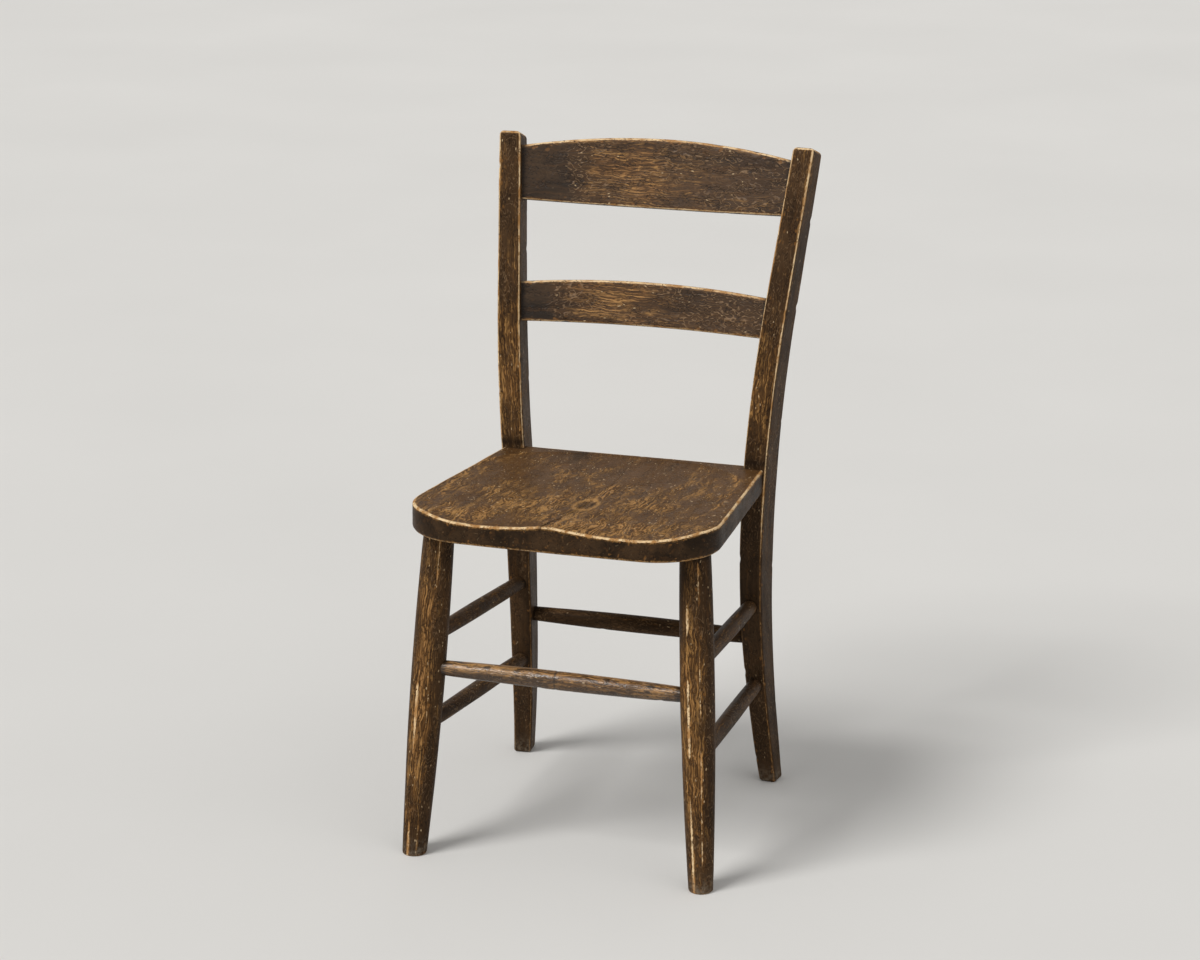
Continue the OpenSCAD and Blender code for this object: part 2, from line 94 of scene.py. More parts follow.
# Heights of the side stretchers at the front legs and at the rear legs
SIDE_STR_Z = {"upper": (275.0, 256.0), "lower": (163.0, 144.0)}
STR_D_END, STR_D_MID, SIDE_STR_D_MID = 18.6, 23.0, 20.6


def srgb(r, g, b):
    """A colour written as 0 to 255 values, in the linear form the shader takes."""
    def linear(v):
        v = v / 255
        return v / 12.92 if v <= 0.04045 else ((v + 0.055) / 1.055) ** 2.4
    return (linear(r), linear(g), linear(b), 1.0)


# ---------- noise over points

def stack(*parts):
    """Joins coordinates into rows of points; a plain number stands for a whole column."""
    return np.stack(np.broadcast_arrays(*parts), -1)


def lattice(i, j, k, seed):
    """A fixed scattered number from 0 to 1 for each whole-number point."""
    h = (i * 73856093) ^ (j * 19349663) ^ (k * 83492791) ^ (seed * 40503171 + 977)
    h = ((h ^ (h >> 13)) * 1274126177) & 0xFFFFFFFF
    h = ((h ^ (h >> 16)) * 668265263) & 0xFFFFFFFF
    return ((h ^ (h >> 15)) & 0xFFFF) / 65535.0


def noise(points, size, seed):
    """Smooth noise from -1 to 1 whose blobs are about the given size, in millimetres.
    size may be one number or one for each axis."""
    q = points / size
    low = np.floor(q).astype(np.int64)
    f = q - low
    f = f * f * (3 - 2 * f)
    total = np.zeros(len(points))
    for corner in np.ndindex(2, 2, 2):
        weight = np.prod(np.where(corner, f, 1 - f), axis=1)
        total += weight * lattice(*(low + corner).T, seed)
    return 2 * total - 1


def scattered(count, seed):
    """A fixed table of count rows of three scattered numbers from 0 to 1."""
    i = np.arange(count)
    return stack(*(lattice(i, i * 7 + 3, axis, seed) for axis in range(3)))


def smooth(low, high, x):
    """0 at low, 1 at high, and a soft step between."""
    t = np.clip((x - low) / (high - low), 0, 1)
    return t * t * (3 - 2 * t)


def bell(x, middle, width):
    """1 at the middle, fading to nothing over about twice the width on either side."""
    return np.exp(-((x - middle) / width) ** 2)


# ---------- the CAD's own curves

def sweep(s, curve, angle):
    """How far a post's face has moved back, at s along a curve that ends in a straight run."""
    inside = np.clip(s, 0, curve) * math.sin(angle) / curve
    arc = curve / math.sin(angle) * (1 - np.sqrt(1 - inside ** 2))
    straight = curve * math.tan(angle / 2) + (s - curve) * math.tan(angle)
    return np.where(s <= 0, 0.0, np.where(s < curve, arc, straight))


def post_front(z):
    """How far a post's front face lies behind the place where it meets the seat."""
    return np.where(z > POST_UPPER_Z, sweep(z - POST_UPPER_Z, POST_CURVE_UP, RAKE),
                    sweep(POST_LOWER_Z - z, POST_CURVE_DOWN, KICK))


def taper(z, most, foot, top):
    """A size that is greatest at one height and falls smoothly to both ends of a post."""
    down = np.clip(1 - z / POST_LOWER_Z, 0, 1) ** 1.8
    up = np.clip((z - POST_LOWER_Z) / (CHAIR_H - POST_LOWER_Z), 0, 1) ** 1.8
    return np.where(z < POST_LOWER_Z, most - (most - foot) * down, most - (most - top) * up)


def post_width(z):
    return taper(z, POST_W, POST_W_FOOT, POST_W_TOP)


def post_depth(z):
    return taper(z, POST_D, POST_D_FOOT, POST_D_TOP)


def post_mid(z):
    """Sideways middle of a post: a straight lean above the seat and a bend below it."""
    slope = SPLAY_TOP / (CHAIR_H - SEAT_H)
    bend = (SPLAY_FOOT + slope * SEAT_H) * np.clip(1 - z / SEAT_H, 0, 1) ** 2
    return slope * (z - SEAT_H) + bend


def post_place(x, y, side):
    """From a right-hand post's own frame to the chair's, on either side."""
    px = POST_X + x * math.cos(POST_TOE) + y * math.sin(POST_TOE)
    py = POST_Y - x * math.sin(POST_TOE) + y * math.cos(POST_TOE)
    return side * px, py


def post_point(x, y, z):
    """The same move for one point of a right-hand post."""
    return np.array([*post_place(x, y, 1), z])


def leg_point(z):
    """A point at height z on a right-hand front leg's axis."""
    return LEG_FOOT + (LEG_TOP - LEG_FOOT) * z / LEG_TOP[2]


def mirror(point, side):
    return point * np.array([side, 1.0, 1.0])


# ---------- building pieces

# Each point's wear, and its value where nothing is said. edge is the distance from the
# nearest worn arris in widths of its worn band, and rub is how far the surface is rubbed.
# grime_and_shade darkens joints, the seat's split and a ring round each peg: dirt, and painted
# shade. The edge field also lays painted highlights: stripes down the front legs, and in part the
# wider band on the rails' top arrises.
FIELDS = {"edge": 9.0, "rub": 0.0, "dust": 0.0, "grime_and_shade": 0.0}
# Shift of the grain between pieces, so that no two of them show the same wood
GRAIN_SHIFT = 300


def build(name, points, faces, grain, fields, finish):
    """Makes one piece of the chair, in millimetres. grain is each point's place in the wood,
    with the fibres along its third axis. finish is a slot and its material; the slot is not used."""
    slot, material = finish
    mesh = bpy.data.meshes.new(name)
    mesh.from_pydata((points * MM).tolist(), [], faces)
    mesh.update()
    mesh.shade_smooth()
    layer = mesh.attributes.new("grain", "FLOAT_VECTOR", "POINT")
    layer.data.foreach_set("vector", (grain * MM).astype(np.float32).ravel())
    for key, usual in FIELDS.items():
        values = np.broadcast_to(fields.get(key, usual), len(points))
        layer = mesh.attributes.new(key, "FLOAT", "POINT")
        layer.data.foreach_set("value", values.astype(np.float32))
    mesh.materials.append(material)
    piece = bpy.data.objects.new(name, mesh)
    bpy.context.scene.collection.objects.link(piece)
    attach(piece, "root")
    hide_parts(name)


def fan(centre, ring, backwards):
    """Triangles from a centre point to a closed ring of point numbers."""
    after = ring[1:] + ring[:1]
    pairs = zip(after, ring) if backwards else zip(ring, after)
    return [(centre, a, b) for a, b in pairs]


def tube_faces(rings, around, inside_out=False):
    """Quads between each ring of points and the next, and a fan over each end. The two
    points that follow the rings are the middles of the ends."""
    i = np.arange(rings - 1)[:, None] * around
    j = np.arange(around)[None, :]
    k = (j + 1) % around
    faces = np.stack([i + j, i + k, i + k + around, i + j + around], -1).reshape(-1, 4).tolist()
    last = rings * around
    faces += fan(last, list(range(around)), True)
    faces += fan(last + 1, list(range(last - around, last)), False)
    return [face[::-1] for face in faces] if inside_out else faces


def build_swept(name, points, around, grain, fields, finish, ends=None, inside_out=False):
    """Makes a piece from rings of points, closed by a middle point at each end. ends gives
    the fields there, which are otherwise the means of the end rings."""
    def with_middles(rows):
        return np.concatenate([rows, [rows[:around].mean(0)], [rows[-around:].mean(0)]])

    fields = {key: np.append(rows, ends[key]) if ends else with_middles(rows)
              for key, rows in fields.items()}
    faces = tube_faces(len(points) // around, around, inside_out)
    build(name, with_middles(points), faces, with_middles(grain), fields, finish)


def rounded_section(flat_x, flat_y, corner):
    """Going once round a rounded rectangle: for each point its place along the straight
    parts (-1 to 1 each way), its outward direction, and how far it is round a corner
    (0 at the corner's middle, 1 at its ends and on the straight parts)."""
    rows = []
    spread_x, spread_y = ([-1 + 2 * (i + 1) / (n + 1) for i in range(n)] for n in (flat_x, flat_y))
    turns = [(1, -1, -90), (1, 1, 0), (-1, 1, 90), (-1, -1, 180)]
    flats = [[(1, t, 1, 0) for t in spread_y], [(-t, 1, 0, 1) for t in spread_x],
             [(-1, -t, -1, 0) for t in spread_y], [(t, -1, 0, -1) for t in spread_x]]
    for (a, b, start), flat in zip(turns, flats):
        for i in range(corner + 1):
            angle = math.radians(start + 90 * i / corner)
            rows.append((a, b, math.cos(angle), math.sin(angle), abs(2 * i / corner - 1)))
        rows += [(p, q, nx, ny, 1.0) for p, q, nx, ny in flat]
    return np.array(rows)


def edge_distance(a, b, turn, half_x, half_y, r):
    """Distance over the surface from each point of a rounded section to the nearest arris."""
    on_y_face = (abs(b) == 1) & (abs(a) < 1)
    on_x_face = (abs(a) == 1) & (abs(b) < 1)
    extra = np.where(on_y_face, (1 - abs(a)) * (half_x - r), 0)
    extra = np.where(on_x_face, (1 - abs(b)) * (half_y - r), extra)
    return turn * r * math.pi / 4 + extra


def dents(points, normals, spots):
    """Pushes points in round each spot: (x, y, z, radius, depth)."""
    for x, y, z, radius, depth in spots:
        near = norm(points - [x, y, z], axis=1) / radius
        points = points - normals * (depth * np.clip(1 - near ** 2, 0, 1) ** 2)[:, None]
    return points


def edge_nicks(points, section, count, seed):
    """Spots for small nicks along the arrises of a swept piece."""
    corners = np.flatnonzero(section[:, 4] < 0.2)
    rings = len(points) // len(section)
    spots = []
    for pick, place, size in scattered(count, seed):
        column = corners[int(pick * len(corners)) % len(corners)]
        ring = min(int((0.03 + 0.94 * place) * rings), rings - 1)
        x, y, z = points[ring * len(section) + column]
        spots.append((x, y, z, 2.2 + 4.5 * size ** 2, 0.35 + 0.9 * size ** 2))
    return spots


# ---------- materials

class Nodes:
    """Short calls for the nodes of one material or world."""

    def __init__(self, owner):
        owner.use_nodes = True
        self.owner, self.tree = owner, owner.node_tree
        self.tree.nodes.clear()

    def new(self, kind, inputs=(), **settings):
        """Adds a node. inputs are values or sockets, in order or by name or number."""
        node = self.tree.nodes.new("ShaderNode" + kind)
        for key, value in settings.items():
            setattr(node, key, value)
        for key, value in inputs.items() if isinstance(inputs, dict) else enumerate(inputs):
            if isinstance(value, bpy.types.NodeSocket):
                self.tree.links.new(value, node.inputs[key])
            else:
                node.inputs[key].default_value = value
        return node

    def field(self, name, output="Fac"):
        return self.new("Attribute", attribute_name=name).outputs[output]

    def math(self, operation, a, b, clamp=False):
        return self.new("Math", (a, b), operation=operation, use_clamp=clamp).outputs[0]

    def plus(self, a, b):
        return self.math("ADD", a, b)

    def minus(self, a, b, clamp=False):
        return self.math("SUBTRACT", a, b, clamp)

    def times(self, a, b, clamp=False):
        return self.math("MULTIPLY", a, b, clamp)

    def vector(self, operation, a, b):
        return self.new("VectorMath", (a, b), operation=operation).outputs[0]

    def step(self, x, low, high, to_low=0.0, to_high=1.0):
        """A soft step from to_low at low to to_high at high; low may be the higher one."""
        return self.new("MapRange", (x, low, high, to_low, to_high),
                        interpolation_type="SMOOTHSTEP").outputs[0]

    def mix(self, factor, a, b):
        """Colour a turning into b. The node's colour sockets are 6, 7 and, for output, 2."""
        return self.new("Mix", {0: factor, 6: a, 7: b}, data_type="RGBA").outputs[2]

    def tint(self, colour, mask, strength, towards):
        return self.mix(self.times(mask, strength), colour, towards)

    def texture(self, kind, at, across, along, inputs=(), **settings):
        """A texture with so many features a metre across the wood's fibres and along them."""
        place = self.vector("MULTIPLY", at, (across, across, along))
        return self.new(kind, {"Vector": place, "Scale": 1.0, **dict(inputs)}, **settings).outputs

    def noise(self, at, across, along, detail=2.0, roughness=0.5, output="Fac"):
        inputs = {"Detail": detail, "Roughness": roughness}
        return self.texture("TexNoise", at, across, along, inputs)[output]

    def specks(self, at, across, along, share, size):
        """Small spots: a share of the cells hold one, of about the given size in the cell."""
        cell = self.texture("TexVoronoi", at, across, along)
        value = self.new("SeparateColor", (cell["Color"],)).outputs[0]
        return self.times(self.math("LESS_THAN", value, share),
                          self.step(cell["Distance"], size, size * 0.6))

    def finish(self, colour, roughness, height, depth, specular=0.12, metallic=0.0):
        """Joins everything in one shader; a height of 1 stands depth millimetres proud."""
        bump = self.new("Bump", {"Strength": 1.0, "Distance": depth * MM, "Height": height})
        shader = self.new("BsdfPrincipled", {
            "Normal": bump.outputs[0], "Base Color": colour, "Roughness": roughness,
            "Metallic": metallic, "Specular IOR Level": specular})
        self.new("OutputMaterial", (shader.outputs[0],))
        return self.owner


class Wood(Nodes):
    """Nodes over a piece's grain and fields, with the noises that its layers share. wave is
    how far the grain wanders, in metres, and fibre is the number of streaks a metre."""

    def __init__(self, name, wave, fibre):
        super().__init__(bpy.data.materials.new(name))
        self.grain = self.field("grain", "Vector")
        self.edge, self.rub, self.dust, self.grime_and_shade = (self.field(key) for key in FIELDS)
        wander = self.noise(self.grain, 50, 30, output="Color")
        wander = self.vector("SUBTRACT", wander, (0.5, 0.5, 0.5))
        wander = self.vector("MULTIPLY", wander, (wave, wave, wave))
        self.bent = self.vector("ADD", self.grain, wander)
        self.streak = self.noise(self.bent, fibre, 16, 3.0, 0.6)
        self.broad = self.noise(self.bent, 150, 7)
        self.patch = self.noise(self.grain, 60, 26, 4.0, 0.62)


PAINT_DARK, PAINT_LIGHT = srgb(40, 30, 21), srgb(67, 50, 34)
PAINT_RED = srgb(82, 57, 34)
# RIDGE_HIGHLIGHT is a painted highlight on the wrinkled paint's ridges.
RIDGE_HIGHLIGHT = srgb(150, 120, 88)
WOOD_DARK, WOOD_MID, WOOD_LIGHT = srgb(78, 54, 30), srgb(120, 82, 43), srgb(182, 137, 80)
# BARE_LIGHT_AND_HIGHLIGHT is the pale worn wood of the arrises, lighter than the wood itself:
# partly a painted highlight.
BARE_DARK, BARE_LIGHT_AND_HIGHLIGHT = srgb(168, 124, 76), srgb(226, 196, 152)
# DIRT_AND_SHADE darkens cracks, pores and stains, and is also the painted shade at joints.
DIRT_AND_SHADE, DUST = srgb(24, 18, 14), srgb(126, 114, 98)
# How far the tallest wrinkle would stand up, in millimetres
RELIEF = 0.55


def paint_colour(t, undertone):
    """Dark paint with lighter, redder and streaked parts, warmed by the wood below."""
    tone = t.noise(t.bent, 26, 9, 3.0, 0.55)
    paint = t.mix(t.step(tone, 0.36, 0.64), PAINT_DARK, PAINT_LIGHT)
    paint = t.mix(t.step(t.broad, 0.50, 0.74, 0.0, 0.55), paint, PAINT_RED)
    paint = t.mix(t.step(t.streak, 0.60, 0.38, 0.0, 0.35), paint, PAINT_DARK)
    return t.mix(t.step(t.rub, -0.25, 0.0, 0.0, undertone), paint, WOOD_MID)


def wood_colour(t, wood_tone):
    """The wood under the paint, with light fibres and dark pores."""
    wood = t.mix(t.step(t.streak, 0.36, 0.66), WOOD_DARK, WOOD_MID)
    light = t.plus(t.streak, t.times(t.broad, 0.6))
    wood = t.mix(t.step(light, wood_tone, wood_tone + 0.22), wood, WOOD_LIGHT)
    pores = t.step(t.noise(t.bent, 2200, 60, 1.0), 0.62, 0.72)
    return t.tint(wood, pores, 0.75, DIRT_AND_SHADE)


def rub_through(t, paint, wood, rub_gain):
    """Broad rubbing lays the wood bare along its streaks. Gives the colour and the rubbing."""
    need = t.plus(t.times(t.streak, 0.75), t.times(t.patch, 1.1))
    need = t.plus(t.times(t.rub, rub_gain), need)
    rubbed = t.step(need, 1.04, 1.62)
    colour = t.mix(t.times(rubbed, 0.82), paint, wood)
    golden = t.times(t.step(need, 1.36, 1.80), t.step(t.streak, 0.49, 0.60))
    return t.tint(colour, golden, 0.75, BARE_DARK), rubbed


def wrinkled_skin(t, ridge_size, rubbed):
    """Ridges of wrinkled paint that wander along the wood, and a fine web of cracks."""
    contour = t.noise(t.bent, 105 / ridge_size, 52 / ridge_size, 1.5)
    ridge = t.step(t.math("PINGPONG", t.times(contour, 6.5), 0.5), 0.33, 0.48)
    where = t.step(t.noise(t.grain, 24, 13), 0.40, 0.56, 0.12, 1.0)
    ridge = t.times(ridge, t.times(where, t.step(t.rub, -0.3, 0.02)))
    ridge = t.times(ridge, t.minus(1.0, t.times(rubbed, 0.6), clamp=True))
    web = t.texture("TexVoronoi", t.bent, 300, 120, feature="DISTANCE_TO_EDGE")["Distance"]
    where = t.step(t.noise(t.grain, 70, 30), 0.46, 0.60)
    return ridge, t.times(t.step(web, 0.07, 0.015), where)


def worn_arrises(t, colour, wood):
    """Arrises worn to pale wood, lightened in part as a painted highlight, and chips beside them.
    Gives the colour, chips and arrises.
    """
    along = t.noise(t.grain, 90, 42, 3.0, 0.6)
    bite = t.noise(t.grain, 420, 240, 2.0, 0.6)
    reach = t.plus(t.edge, t.plus(t.times(along, 1.25), bite))
    notches = t.step(t.noise(t.grain, 330, 330), 0.64, 0.70)
    bared = t.minus(t.step(reach, 2.02, 1.66), notches, clamp=True)
    chips = t.specks(t.bent, 210, 130, 0.16, 0.42)
    chips = t.times(chips, t.step(t.edge, 7.0, 1.5, 0.12, 1.0))
    pale = t.mix(t.step(along, 0.38, 0.60), BARE_DARK, BARE_LIGHT_AND_HIGHLIGHT)
    pale = t.mix(t.step(bite, 0.62, 0.74, 0.0, 0.7), pale, WOOD_DARK)
    colour = t.mix(t.step(reach, 3.1, 1.7, 0.0, 0.75), colour, wood)
    colour = t.tint(colour, chips, 0.8, WOOD_MID)
    return t.mix(bared, colour, pale), chips, bared


def specks(t, colour, light_specks, blotches):
    """Small light and dark specks, and larger dark stains where blotches asks for them."""
    light = t.specks(t.bent, 600, 240, light_specks, 0.5)
    light = t.times(light, t.step(t.rub, -0.25, 0.05, 0.15, 1.0))
    dark = t.specks(t.grain, 620, 300, 0.07, 0.5)
    colour = t.tint(colour, light, 0.54, BARE_LIGHT_AND_HIGHLIGHT)
    colour = t.tint(colour, dark, 0.7, DIRT_AND_SHADE)
    if not blotches:
        return colour
    stain = t.specks(t.bent, 150, 70, blotches, 0.5)
    return t.tint(colour, stain, 0.75, DIRT_AND_SHADE)


def shade_dirt_and_dust(t, colour):
    """Dirt and painted shade at joints, in the seat's split and round the pegs, and dust near the
    floor. Gives the colour and the dust.
    """
    # Darkening at joints, in the seat's split and round the pegs: dirt, and painted shade.
    colour = t.mix(t.times(t.grime_and_shade, 0.85, clamp=True), colour, DIRT_AND_SHADE)
    dusty = t.step(t.noise(t.grain, 160, 160, 4.0, 0.7), 0.38, 0.66)
    dusty = t.times(t.dust, dusty)
    return t.tint(colour, dusty, 0.6, DUST), dusty


# The knot's middle in the seat's grain, and one over its half width and half length, a metre
KNOT_AT = (0.010, 0.0, 0.1255)
KNOT_SCALE = (1 / 0.0135, 0.0, 1 / 0.026)


def seat_knot(t, colour):
    """A long dark knot with a light rim, on the top of the seat's front half only."""
    offset = t.vector("MULTIPLY", t.vector("SUBTRACT", t.grain, KNOT_AT), KNOT_SCALE)
    length = t.new("VectorMath", (offset,), operation="LENGTH").outputs["Value"]
    far = t.plus(length, t.times(t.noise(t.grain, 260, 130), 0.5))
    on_top = t.step(t.new("SeparateXYZ", (t.grain,)).outputs["Y"], -0.024, -0.018)
    rings = t.step(t.math("PINGPONG", t.times(far, 4.0), 0.5), 0.25, 0.45, 0.0, 0.5)
    rings = t.times(t.times(on_top, t.step(far, 2.4, 1.1)), rings)
    rim = t.times(t.times(t.step(far, 1.02, 1.15), t.step(far, 1.5, 1.25)), on_top)
    heart = t.times(t.step(far, 1.08, 0.75), on_top)
    colour = t.mix(rings, colour, WOOD_DARK)
    colour = t.tint(colour, rim, 0.55, WOOD_LIGHT)
    return t.tint(colour, heart, 0.55, DIRT_AND_SHADE)


# ridge_highlight is the strength of the painted highlight on the wrinkle ridges.
def worn_finish(name, slot=None, rub_gain=1.0, crackle=1.0, wave=0.012, ridge_size=0.8,
                ridge_highlight=0.30, light_specks=0.010, wood_tone=0.80, blotches=0.0,
                specular=0.04, undertone=0.08, fibre=620, gloss=0.0, knot=False):
    """Old dark paint over wood, as a slot and a material. light_specks and blotches are shares
    of the surface, a lower wood_tone is lighter wood, and most others are strengths."""
    t = Wood(name, wave, fibre)
    wood = wood_colour(t, wood_tone)
    colour, rubbed = rub_through(t, paint_colour(t, undertone), wood, rub_gain)
    ridge, crack = wrinkled_skin(t, ridge_size, rubbed)
    # Paints a highlight on the wrinkle ridges.
    colour = t.mix(t.times(ridge, ridge_highlight), colour, RIDGE_HIGHLIGHT)
    colour = t.mix(t.times(crack, 0.6 * crackle), colour, DIRT_AND_SHADE)
    colour, chips, bared = worn_arrises(t, colour, wood)
    colour = specks(t, colour, light_specks, blotches)
    if knot:
        colour = seat_knot(t, colour)
    colour, dusty = shade_dirt_and_dust(t, colour)

    sheen = t.plus(t.step(t.patch, 0.3, 0.7, 0.38 - gloss, 0.50 - gloss),
                   t.times(rubbed, 0.08 - gloss / 4))
    roughness = t.plus(sheen, t.times(t.plus(bared, dusty), 0.18))
    height = t.plus(t.times(t.streak, 0.28), t.times(ridge, 0.75))
    fine = t.noise(t.grain, 1500, 260, 2.0, 0.6)
    height = t.plus(height, t.times(fine, 0.16))
    height = t.minus(height, t.times(crack, 0.5 * crackle))
    worn_away = t.plus(t.times(chips, 0.4), t.times(bared, 0.35))
    height = t.minus(t.times(height, t.minus(1.0, bared)), worn_away)
    return slot or name, t.finish(colour, roughness, height, RELIEF, specular)


def old_steel(name):
    """Dull screw steel, darkened, with patches of rust."""
    t = Nodes(bpy.data.materials.new(name))
    at = t.new("TexCoord").outputs["Object"]
    rust = t.step(t.noise(at, 420, 420, 4.0, 0.65), 0.45, 0.62)
    colour = t.mix(rust, srgb(86, 82, 78), srgb(74, 46, 30))
    return t.finish(colour, t.step(rust, 0.0, 1.0, 0.45, 0.8),
                    t.noise(at, 900, 900, 3.0), 0.3,
                    metallic=t.step(rust, 0.0, 1.0, 0.9, 0.1))


PAINTED = worn_finish("dark_painted_wood")
# The rails get the strongest painted ridge highlight, as a sheen.
PAINTED_RAIL = worn_finish("dark_painted_rail", slot="dark_painted_wood", ridge_highlight=0.60,
                           ridge_size=0.95, undertone=0.12, specular=0.22)
SEAT_WOOD = worn_finish("worn_seat_wood", crackle=0.8, wave=0.026, ridge_size=0.72,
                        ridge_highlight=0.34, light_specks=0.040, wood_tone=0.72,
                        undertone=0.36, fibre=380, knot=True)
STRETCHER_WOOD = worn_finish("worn_stretcher_wood", crackle=0.5, wood_tone=0.72,
                             blotches=0.16, specular=0.5, gloss=0.14)
PEG_WOOD = worn_finish("peg_wood", rub_gain=0.6)
STEEL = old_steel("dull_steel")


# ---------- back posts

FOOT_ROUND, TOP_ROUND = 3.5, 6.0
# Height from which a post's rings lean towards its slanted top, and the rise of that top
SHEAR_FROM, CROWN = 700.0, 0.9


def post_rings():
    """Rings of a post from foot to top: place along it, inset, and share of the section."""
    rings = [(0.0, FOOT_ROUND, share) for share in (0.35, 0.7)]
    rings += [(FOOT_ROUND * (1 - math.cos(turned)), FOOT_ROUND * (1 - math.sin(turned)), 1)
              for turned in np.radians((0, 30, 60, 90))]
    rings += [(s, 0.0, 1) for s in np.linspace(5, CHAIR_H - TOP_ROUND, 372)]
    rings += [(CHAIR_H - TOP_ROUND * (1 - math.sin(turned)), TOP_ROUND * (1 - math.cos(turned)), 1)
              for turned in np.radians((22.5, 45, 67.5, 90))]
    return rings + [(CHAIR_H, TOP_ROUND, share) for share in (0.72, 0.4)]


def back_post(name, side, seed):
    """A sawn post and the rear leg below it, with uneven faces and nicked arrises."""
    section, rings = rounded_section(8, 12, 6), post_rings()
    a, b, nx, ny, turn = np.tile(section, (len(rings), 1)).T
    s, inset, share = np.repeat(rings, len(section), axis=0).T
    below = 1 - smooth(300, 425, s)
    radius = 3.4 + 0.7 * noise(stack(seed, 0, s), 55, seed) + 1.6 * below
    half_w, half_d = post_width(s) / 2, post_depth(s) / 2
    left_round = np.maximum(radius - inset, 0.3)
    x = (a * (half_w - inset - left_round) + left_round * nx) * share
    y = (b * (half_d - inset - left_round) + left_round * ny) * share + half_d
    climb = np.maximum(s - SHEAR_FROM, 0) / (CHAIR_H - SHEAR_FROM)
    z = s - climb * y * math.tan(RAKE) + np.where(s > SHEAR_FROM, CROWN * (1 - share ** 2), 0)
    px, py = post_place(post_mid(z) + x, post_front(z) + y, side)
    points = stack(px, py, z)
    normals = stack(side * (nx * math.cos(POST_TOE) + ny * math.sin(POST_TOE)),
                    ny * math.cos(POST_TOE) - nx * math.sin(POST_TOE), 0)
    shake = 0.28 * noise(points, (40, 40, 110), seed) + 0.10 * noise(points, (7, 7, 36), seed + 1)
    points = points + normals * (shake * (share == 1))[:, None]
    points = dents(points, normals, edge_nicks(points, section, 46, seed))

    # The arrises are worn widest near the top, and the top's own edge is worn too
    band = 1.4 + 0.5 * noise(points, (30, 30, 60), seed + 2) + 0.4 * bell(z, CHAIR_H - 1, 60)
    from_top = np.where((share < 1) & (s > 0), 1.3 + (1 - share) * half_w / 2,
                        0.6 * abs(CHAIR_H - 1.8 - s))
    edge = edge_distance(a, b, turn, half_w, half_d, radius) / band + 0.75 * below
    front = np.clip(-ny, 0, 1)
    rub = 0.04 + front * (0.42 * bell(z, 545, 85) + 0.10 * bell(z, 700, 90)) - 0.16 * below
    rub += 0.10 * noise(points, (60, 60, 120), seed + 3)
    # A darker band on the post's front where the seat meets it: dirt, and painted shade at the
    # joint.
    fields = {"edge": np.minimum(edge, from_top), "rub": rub, "dust": 1 - smooth(0, 34, z),
              "grime_and_shade": 0.8 * bell(z, SEAT_H - 1, 5) * front}
    build_swept(name, points, len(section), stack(side * x + GRAIN_SHIFT * seed, y, z), fields,
                PAINTED, inside_out=side < 0,
                ends={"edge": (9, 3), "rub": (0, 0.1), "dust": (1, 0), "grime_and_shade": (0, 0)})


back_post("back_post_left", -1, 11)
back_post("back_post_right", 1, 23)


# ---------- back rails

RAIL_RINGS = 216
# Length of rail that is modelled inside each post
RAIL_HOUSED = 9.0


def back_rail(name, z0, height, arch, lift, lean, seed, rub_at):
    """A bowed rail whose edges arch by arch and lift. u is the distance behind its front
    face and v the height across it, before it leans; rub_at is the middle of its worn part."""
    section = rounded_section(3, 40, 6)
    a, b, nx, ny, turn = np.tile(section, (RAIL_RINGS, 1)).T
    half = post_point(post_mid(z0) - post_width(z0) / 2,
                      post_front(z0) + RAIL_SETBACK + RAIL_T / 2, z0)[0]
    end_y = post_point(post_mid(z0), post_front(z0) + RAIL_SETBACK, z0)[1]
    bow_r = (half ** 2 + RAIL_BOW ** 2) / (2 * RAIL_BOW)
    reach = math.asin((half + RAIL_HOUSED) / bow_r)
    angle = np.repeat(np.linspace(-reach, reach, RAIL_RINGS), len(section))
    x = bow_r * np.sin(angle)
    rise = 1 - np.clip(x / half, -1, 1) ** 2
    low, high = -height / 2 + lift * rise, height / 2 + arch * rise
    middle, half_v = (low + high) / 2, (high - low) / 2
    radius = np.where(b > 0, 3.9, 2.6)
    u = a * (RAIL_T / 2 - radius) + radius * nx + RAIL_T / 2
    v = middle + b * (half_v - radius) + radius * ny
    flat = stack(x, v, u)
    shake = 0.22 * noise(flat, (90, 34, 30), seed) + 0.08 * noise(flat, (30, 6, 9), seed + 1)
    u = u + nx * shake
    v = v + ny * shake

    def lean_back(y, z):
        return y * math.cos(lean) + z * math.sin(lean), z * math.cos(lean) - y * math.sin(lean)

    back, up = lean_back(RAIL_BOW - bow_r + (bow_r + u) * np.cos(angle), v)
    points = stack((bow_r + u) * np.sin(angle), back + end_y, up + z0)
    normals = stack(nx * np.sin(angle), *lean_back(nx * np.cos(angle), ny))
    points = dents(points, normals, edge_nicks(points, section, 34, seed))

    # The top arrises are worn wider; this pale band along the top edge is partly wear and partly a
    # painted highlight.
    band = 1.5 + 0.6 * noise(flat, (40, 20, 20), seed + 2) + np.where(b > 0, 1.1, 0)
    front = np.clip(-nx, 0, 1)
    rub = 0.08 + front * 0.42 * bell(x, rub_at, 75) * bell(v, middle, 0.8 * height)
    rub += 0.10 * noise(flat, (90, 22, 30), seed + 3)
    # Less rubbing towards the left end keeps the painted ridge highlight off it, so the rail is
    # darker at its left end than towards its right.
    rub -= 0.42 * front * smooth(rub_at - 60, rub_at - 100, x)
    # Darker where the rail goes into the posts: dirt, and painted shade at the joints.
    fields = {"edge": edge_distance(a, b, turn, RAIL_T / 2, half_v, radius) / band, "rub": rub,
              "grime_and_shade": 0.8 * smooth(half - 7, half - 1, abs(x))}
    build_swept(name, points, len(section), stack(u, v + GRAIN_SHIFT * seed, x), fields,
                PAINTED_RAIL, ends={"edge": (9, 9), "rub": (0, 0), "grime_and_shade": (1, 1)})


